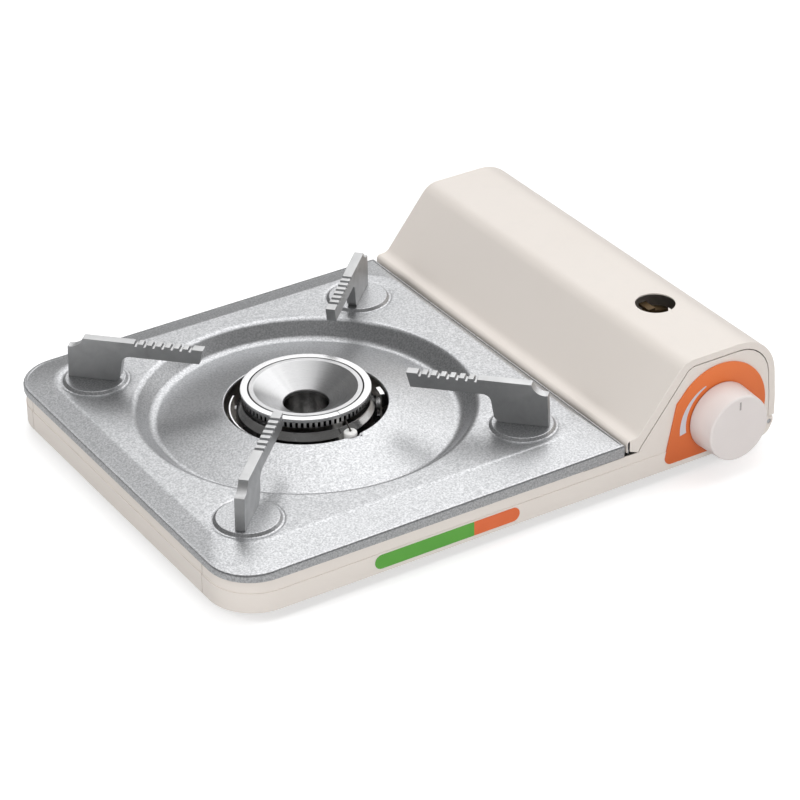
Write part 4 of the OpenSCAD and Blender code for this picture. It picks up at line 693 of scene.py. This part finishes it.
label_low, label_high, label_front, film_t = 9.1, 18.1, -141.62, 0.25
label_start, label_split, label_end, label_round = -40.5, 24.44, 55.0, 4.5
label_middle = label_low + label_round
green_outline = (arc(label_start + label_round, label_middle, label_round, 90, 270, 14)
                 + [(label_split, label_low), (label_split, label_high)])
orange_outline = ([(label_split, label_high), (label_split, label_low)]
                  + arc(label_end - label_round, label_middle, label_round, -90, 90, 14))
for name, node, slot, outline, pale, deep in (
        ("label_left", "label_green", "label_green", green_outline, (0.112, 0.40, 0.048),
         (0.085, 0.34, 0.038)),
        ("label_right", "label_orange", "label_orange", orange_outline, (0.80, 0.165, 0.045),
         (0.70, 0.13, 0.035))):
    drawn(outline, lambda x, z: spot(x, label_front, z))
    thickened((0, -film_t / 1000, 0))
    film = bpy.context.object
    rounded_edges(film, 0.08, 2)
    finished(film, name, "case", slot, moulded(name + "_film", pale, deep, 0.34, 1100.0, 0.03), node)

# Knob
# Cream plastic, moulded as a cup with a slightly tapered wall and a softly rounded face. Its mark is
# a thin raised bar near the upper edge of the face, and it pushes onto the flat of the valve stem.
knob_long, knob_back = 18.9, -142.6
knob_section = eased([(7.0, 0.0), (21.5, 0.0), (20.5, knob_long), (1.0, knob_long)], [0, 0.5, 1.4, 0], 6)
knob = turned([(0.6, 2.5), (18.8, 2.5), (19.2, 0.0)] + knob_section[1:-1] + [(0.6, knob_long)],
              spot(0, 0, 0), 128)
bpy.ops.object.select_all(action="DESELECT")
bpy.ops.mesh.primitive_cube_add(size=1.0, location=spot(0, 15.0, knob_long - 0.06))
bar = bpy.context.object
bar.dimensions = (0.0011, 0.0052, 0.0006)
bpy.ops.object.transform_apply(location=False, rotation=False, scale=True)
rounded_edges(bar, 0.2, 3)
for piece in (knob, bar):
    settled(piece)
    piece.data.transform(Matrix.Translation(spot(knob_x, knob_back, knob_z)) @ Matrix.Rotation(
        math.radians(90), 4, "X") @ Matrix.Translation(-spot(0, 0, 0)))
knob_plastic = moulded("knob_plastic", (0.79, 0.735, 0.715), (0.745, 0.69, 0.67), 0.40, 2600.0, 0.05)
finished(knob, "knob", "control", "knob_plastic", knob_plastic, "control_knob", smooth=28.0)
# The bar is painted grey: painted shade, standing for the dark line that the mark shows on the cream face.
finished(bar, "knob_mark", "control", "knob_plastic",
         moulded("mark_painted_shade", (0.44, 0.40, 0.39), (0.38, 0.35, 0.34), 0.5), smooth=28.0)

# Lid
# One sheet of 0.8 mm steel, folded over the canister bay with wide soft bends, flanged at both ends
# and curled up beside the top plate. A round window with a small pointer is pressed through it.
lid_front, lid_rear, lid_sheet, fold, lid_top = -141.1, 130.6, 0.8, 0.4, 74.5
over = [(136.5, 34.8), (168.3, lid_top), (232.5, lid_top), (235.5, 31.6), (235.5, 18.5)]


def face_up(test):
    """Turns a sheet over where its top faces, told by a test on their middle, look down."""
    place = bpy.context.object.matrix_world
    mesh = bmesh.from_edit_mesh(bpy.context.object.data)
    lean = sum(part.normal.z * part.calc_area() for part in mesh.faces
               if test(place @ part.calc_center_median()))
    if lean < 0:
        bpy.ops.mesh.select_all(action="SELECT")
        bpy.ops.mesh.flip_normals()


def set_in(corners, widths):
    """The corners of a path moved in, to the right of its run, by a width for each side."""
    sides = []
    for first, last, width in zip(corners, corners[1:], widths):
        along = (Vector(last) - Vector(first)).normalized()
        inward = Vector((along.y, -along.x)) * width
        sides.append((Vector(first) + inward, along))
    inner = [tuple(sides[0][0])]
    for (one, along), (other, across) in zip(sides, sides[1:]):
        reach = (other - one).cross(across) / along.cross(across)
        inner.append(tuple(one + along * reach))
    return inner + [tuple(Vector(corners[-1]) + Vector((along.y, -along.x)) * widths[-1])]


drawn(eased([(129.0, 27.3), (129.0, 34.8)] + over, [0, 2.5, 6, 14, 27, 20, 0], 10),
      lambda x, z: spot(x, lid_front + fold, z), filled=False)
bpy.ops.mesh.select_mode(type="EDGE")
bpy.ops.mesh.select_all(action="SELECT")
bpy.ops.mesh.extrude_edges_move(
    TRANSFORM_OT_translate={"value": (0, (lid_rear - lid_front - 2 * fold) / 1000, 0)})
face_up(lambda middle: middle.z > (lid_top - 0.1) / 1000)
bpy.ops.object.mode_set(mode="OBJECT")
lid = bpy.context.object
wall = lid.modifiers.new("sheet", "SOLIDIFY")
wall.thickness, wall.offset, wall.use_even_offset = lid_sheet / 1000, -1.0, True
bpy.ops.object.modifier_apply(modifier="sheet")
flange_path = [(132.75, 27.3)] + over
flange = (eased([(131.25, 27.3), (131.25, 34.8)] + over, [0, 1.0, 6, 14, 27, 20, 0], 10)
          + eased(set_in(flange_path, [5.0, 5.92, 4.4, 4.4, 4.4]), [0, 8, 9.6, 22.6, 15.6, 0], 10)[::-1])
flanges = []
for y in (lid_front, lid_rear - lid_sheet):
    drawn(flange, lambda x, z: spot(x, y, z))
    thickened((0, lid_sheet / 1000, 0))
    flanges.append(bpy.context.object)
    rounded_edges(flanges[-1], 0.39, 3, 50.0)
window_x, window_y, window_r = 195.5, -75.0, 12.0
drawn(arc(window_x, window_y, window_r, -74.0, 274.0, 72)
      + arc(window_x, window_y, window_r - 2.8, -70.0, -69.0, 1), lambda x, y: spot(x, y, 70.0))
thickened((0, 0, 0.008))
cut_away(lid, bpy.context.object)
hinge_x, hinge_z, lying = 231.5, 15.0, (math.radians(90), 0, 0)
ears = []
for y in (-139.6, 129.1):
    bpy.ops.object.select_all(action="DESELECT")
    bpy.ops.mesh.primitive_cylinder_add(vertices=40, radius=0.004, depth=lid_sheet / 1000,
                                        location=spot(hinge_x, y, hinge_z), rotation=lying)
    ear = bpy.context.object
    bpy.ops.mesh.primitive_cylinder_add(vertices=32, radius=0.00166, depth=0.01,
                                        location=spot(hinge_x, y, hinge_z), rotation=lying)
    cut_away(ear, bpy.context.object)
    ears.append(ear)
finished(joined(lid, *flanges, *ears), "lid", "lid", "cream_enamel", case_paint, "canister_lid", smooth=32.0)

# Top plate
# One pressing of 0.6 mm steel, sprayed with a silver paint whose flakes sparkle: a raised field with
# sloped margins and a turned down rim, four low pads, and a round dish that rises again to the burner.
plate_sheet, field_z, pad_off = 0.6, 34.0, 91.0
dish_section = eased([(106.0, field_z), (100.0, field_z), (90.4, 23.3), (53.0, 32.94), (48.1, 34.2),
                      (48.1, 32.6)], [0, 5.2, 6, 0, 0.6, 0], 10)[1:]
pad_top = 35.5
pad_section = eased([(21.9, field_z), (20.5, 33.6), (19.4, 33.7), (17.9, pad_top), (16.0, pad_top)],
                    [0, 0.7, 0.5, 0.7, 0], 4)


def rounded_box(left, right, front, rear, z, corner_left, corner_right):
    """A level rectangle of edges whose left and right corners are rounded by their own radius."""
    bpy.ops.object.select_all(action="DESELECT")
    bpy.ops.mesh.primitive_plane_add(size=1.0, location=spot((left + right) / 2, (front + rear) / 2, z))
    box = bpy.context.object
    box.dimensions = ((right - left) / 1000, (rear - front) / 1000, 0)
    bpy.ops.object.transform_apply(location=True, rotation=False, scale=True)
    bpy.ops.object.mode_set(mode="EDIT")
    for side, corner in ((left, corner_left), (right, corner_right)):
        edge_x = spot(side, 0, 0).x
        pick(lambda middle, lean, part: abs(middle.x - edge_x) < 0.00001)
        bpy.ops.mesh.bevel(offset=corner / 1000, offset_type="OFFSET", segments=10, affect="VERTICES")
    bpy.ops.mesh.select_all(action="SELECT")
    bpy.ops.mesh.delete(type="ONLY_FACE")
    bpy.ops.object.mode_set(mode="OBJECT")
    return box


def ring_of_edges(radius, middle, sides):
    """A level circle of edges, in millimetres."""
    bpy.ops.object.select_all(action="DESELECT")
    bpy.ops.mesh.primitive_circle_add(vertices=sides, radius=radius / 1000, location=middle)
    bpy.ops.object.transform_apply(location=True, rotation=False, scale=True)
    return bpy.context.object


def pick_ring(radius, z, middle):
    """Selects the level ring of edges of a radius and height in millimetres about an axis."""
    def on_ring(corner):
        away = corner.co - middle
        return (abs(corner.co.z - z / 1000) < 0.00002
                and abs(math.hypot(away.x, away.y) - radius / 1000) < 0.00004)
    pick(lambda place, lean, part: on_ring(part.verts[0]) and on_ring(part.verts[1]), "EDGE")


def stepped_out(box, steps):
    """Draws the selected edge of a box on, step by step, each a width outwards and a drop."""
    middle = spot((box[0] + box[1]) / 2, (box[2] + box[3]) / 2, 0)
    wide, deep = (box[1] - box[0]) / 2, (box[3] - box[2]) / 2
    for out, drop in steps:
        bpy.ops.mesh.extrude_edges_move(TRANSFORM_OT_translate={"value": (0, 0, -drop / 1000)})
        bpy.ops.transform.resize(value=((wide + out) / wide, (deep + out) / deep, 1.0),
                                 center_override=middle)
        wide, deep = wide + out, deep + out


# The field lies level between its own rounded edge, the dish and the four pads.
pad_middles = [spot(x * pad_off, y * pad_off, 0) for x in (-1, 1) for y in (-1, 1)]
field_box = (-113.5, 120.9, -114.2, 115.7)
rims = [rounded_box(*field_box, field_z, 24.2, 24.2),
        ring_of_edges(dish_section[0][0], spot(0, 0, field_z), 160)]
rims += [ring_of_edges(pad_section[0][0], middle + Vector((0, 0, field_z / 1000)), 64)
         for middle in pad_middles]
plate = joined(*rims)
bpy.ops.object.mode_set(mode="EDIT")
bpy.ops.mesh.select_mode(type="EDGE")
bpy.ops.mesh.select_all(action="SELECT")
bpy.ops.mesh.fill()
for middle in pad_middles:
    pick_ring(pad_section[0][0], field_z, middle)
    drawn_on(pad_section, middle)
    bpy.ops.mesh.edge_face_add()
pick_ring(dish_section[0][0], field_z, burner_axis)
drawn_on(dish_section, burner_axis)


def pick_open_edge(*levels):
    """Selects the open edges that lie at any of some heights, in millimetres."""
    pick(lambda place, lean, part: part.is_boundary and any(
        all(abs(corner.co.z - level / 1000) < 0.00001 for corner in part.verts) for level in levels), "EDGE")


# The field's edge breaks softly into the margins, which fall to the rim that turns down.
field_steps = ((0.8, 0.03), (0.8, 0.10), (1.0, 0.25))
pick_open_edge(field_z)
stepped_out(field_box, field_steps)
bpy.ops.object.mode_set(mode="OBJECT")
brim_box, brim_z = (-127.3, 125.2, -139.9, 129.5), 32.0
brim = rounded_box(*brim_box, brim_z, 27.0, 1.0)
bpy.ops.object.mode_set(mode="EDIT")
bpy.ops.mesh.select_mode(type="EDGE")
bpy.ops.mesh.select_all(action="SELECT")
stepped_out(brim_box, ((0.3, -0.3), (1.1, 0.2), (0.4, 0.5), (0.2, 0.8), (0.0, 5.0)))
bpy.ops.object.mode_set(mode="OBJECT")
plate = joined(plate, brim)
bpy.ops.object.mode_set(mode="EDIT")
pick_open_edge(field_z - sum(drop for out, drop in field_steps), brim_z)
bpy.ops.mesh.bridge_edge_loops()
bpy.ops.mesh.select_all(action="SELECT")
bpy.ops.mesh.normals_make_consistent(inside=False)
face_up(lambda middle: middle.z > (field_z - 0.1) / 1000)

# The margins fall more steeply at the left and the rear, and less beside the lid.
fall_steps, fall_pitch, fall_each = 6, 3.0, 0.17
for k in range(fall_steps):
    left_of, behind = spot(-102.5 - fall_pitch * k, 0, 0).x, spot(0, 105.0 + fall_pitch * k, 0).y
    pick(lambda place, lean, part: 0.0285 < place.z < 0.0324 and (place.x < left_of or place.y > behind))
    bpy.ops.transform.translate(value=(0, 0, -fall_each / 1000))
pick(lambda place, lean, part: place.z > 0.0285 and place.x > spot(124.0, 0, 0).x)
bpy.ops.transform.translate(value=(0.0003, 0, 0.0011))
pick(lambda place, lean, part: place.z < 0.0262 and place.x < spot(-90.0, 0, 0).x)
bpy.ops.transform.translate(value=(0, 0, 0.0010))

# A notch in the rim of the hole clears the electrode.
pick(lambda place, lean, part: (place - burner_axis).xy.length < 0.0492
     and abs(place.x - spot(electrode_x, 0, 0).x) < 0.0046 and place.y < burner_axis.y)
bpy.ops.transform.translate(value=(0, -0.002, 0))
bpy.ops.object.mode_set(mode="OBJECT")
wall = plate.modifiers.new("sheet", "SOLIDIFY")
wall.thickness, wall.offset, wall.use_even_offset = plate_sheet / 1000, -1.0, False
bpy.ops.object.modifier_apply(modifier="sheet")
flake_paint = shared_effect(
    "flake_paint",
    [("Place", "NodeSocketVector", (0.0, 0.0, 0.0)), ("Flake", "NodeSocketFloat", 1500.0)],
    [("Sparkle", "NodeSocketFloat"), ("Shade", "NodeSocketFloat"), ("Height", "NodeSocketFloat")])
given = flake_paint.nodes.new("NodeGroupInput")
grains = wire(flake_paint, "ShaderNodeTexNoise", {"Vector": given.outputs["Place"], "Detail": 2.0,
                                                  "Scale": given.outputs["Flake"], "Roughness": 0.7})
bright = wire(flake_paint, "ShaderNodeMapRange", {"Value": grains.outputs["Fac"], "From Min": 0.36,
                                                  "From Max": 0.64})
drift = wire(flake_paint, "ShaderNodeTexNoise", {"Vector": given.outputs["Place"], "Scale": 9.0,
                                                 "Detail": 2.0})
wire(flake_paint, "NodeGroupOutput", {"Sparkle": bright.outputs[0], "Shade": drift.outputs["Fac"],
                                      "Height": grains.outputs["Fac"]})
silver_paint, tree, flakes = effect_on("silver_paint", flake_paint, Flake=900.0)
paler = blended(tree, flakes.outputs["Sparkle"], (0.36, 0.365, 0.375, 1.0), (0.58, 0.585, 0.595, 1.0))
drifted = wire(tree, "ShaderNodeMapRange", {"Value": flakes.outputs["Shade"], "From Min": 0.3,
                                            "From Max": 0.7, "To Min": 0.0, "To Max": 0.12})
tone = blended(tree, drifted.outputs[0], paler, (0.38, 0.385, 0.40, 1.0))
rough = wire(tree, "ShaderNodeMapRange", {"Value": flakes.outputs["Sparkle"], "To Min": 0.42,
                                          "To Max": 0.33})
bump = wire(tree, "ShaderNodeBump", {"Strength": 0.22, "Distance": 0.00025,
                                     "Height": flakes.outputs["Height"]})
skin = wire(tree, "ShaderNodeBsdfPrincipled", {"Base Color": tone, "Metallic": 0.92,
                                               "Roughness": rough.outputs[0],
                                               "Normal": bump.outputs[0]})
wire(tree, "ShaderNodeOutputMaterial", {"Surface": skin.outputs[0]})
finished(plate, "plate", "plate", "plate_steel", silver_paint, "top_plate", smooth=32.0)

# Pan supports
# Four arms of enamelled cast iron, flat sided and matt grey, with seven notches along the top and a
# hollow at the heel. Each stands on its pad and is held by two screws from below.
support_t = 5.8
tip_r, heel_r, arm_top, arm_low = 60.6, 144.53, 62.3, 52.9
arm_under = eased([(114.83, pad_top), (112.43, 38.5), (109.93, arm_low), (63.2, arm_low)], [0, 1.2, 5, 0], 6)
hollow = arc(142.13, 64.2, 8.2, 193.4, 281.0, 14)
notch_count, notch_first, notch_pitch, notch_deep = 7, 68.6, 5.48, 1.8
notches = []
for i in range(notch_count):
    start, floor = notch_first + notch_pitch * i, arm_top - notch_deep
    notches += [(start - 1.2, arm_top), (start - 0.6, floor), (start + 0.8, floor), (start + 1.2, arm_top)]
arm_outline = arm_under + [(tip_r, arm_top)] + notches + hollow + [(heel_r, pad_top)]
drawn(arm_outline, lambda reach, z: spot(reach, -support_t / 2, z))
thickened((0, support_t / 1000, 0))
arm = bpy.context.object
settled(arm)
rounded_edges(arm, 0.30, 2, 25.0)
arm.data.transform(Matrix.Translation(burner_axis) @ Matrix.Rotation(math.radians(-135.0), 4, "Z")
                   @ Matrix.Translation(-burner_axis))
# The arms' tops are painted paler at half strength: partly wear, partly a painted highlight.
support_enamel = cast_metal("support_enamel", (0.42, 0.425, 0.43), (0.34, 0.345, 0.35), 0.8, 0.40, 1500.0,
                            0.3, 0.5)
finished(arm, "support_front_left", "plate", "support_grey", support_enamel, "pan_support_front_left",
         smooth=30.0)
for name, turn in (("front_right", 90.0), ("rear_right", 180.0), ("rear_left", 270.0)):
    other = copied(arm, "support_" + name, (0, 0, 0), math.radians(turn), burner_axis)
    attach(other, "plate")
    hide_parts("pan_support_" + name)
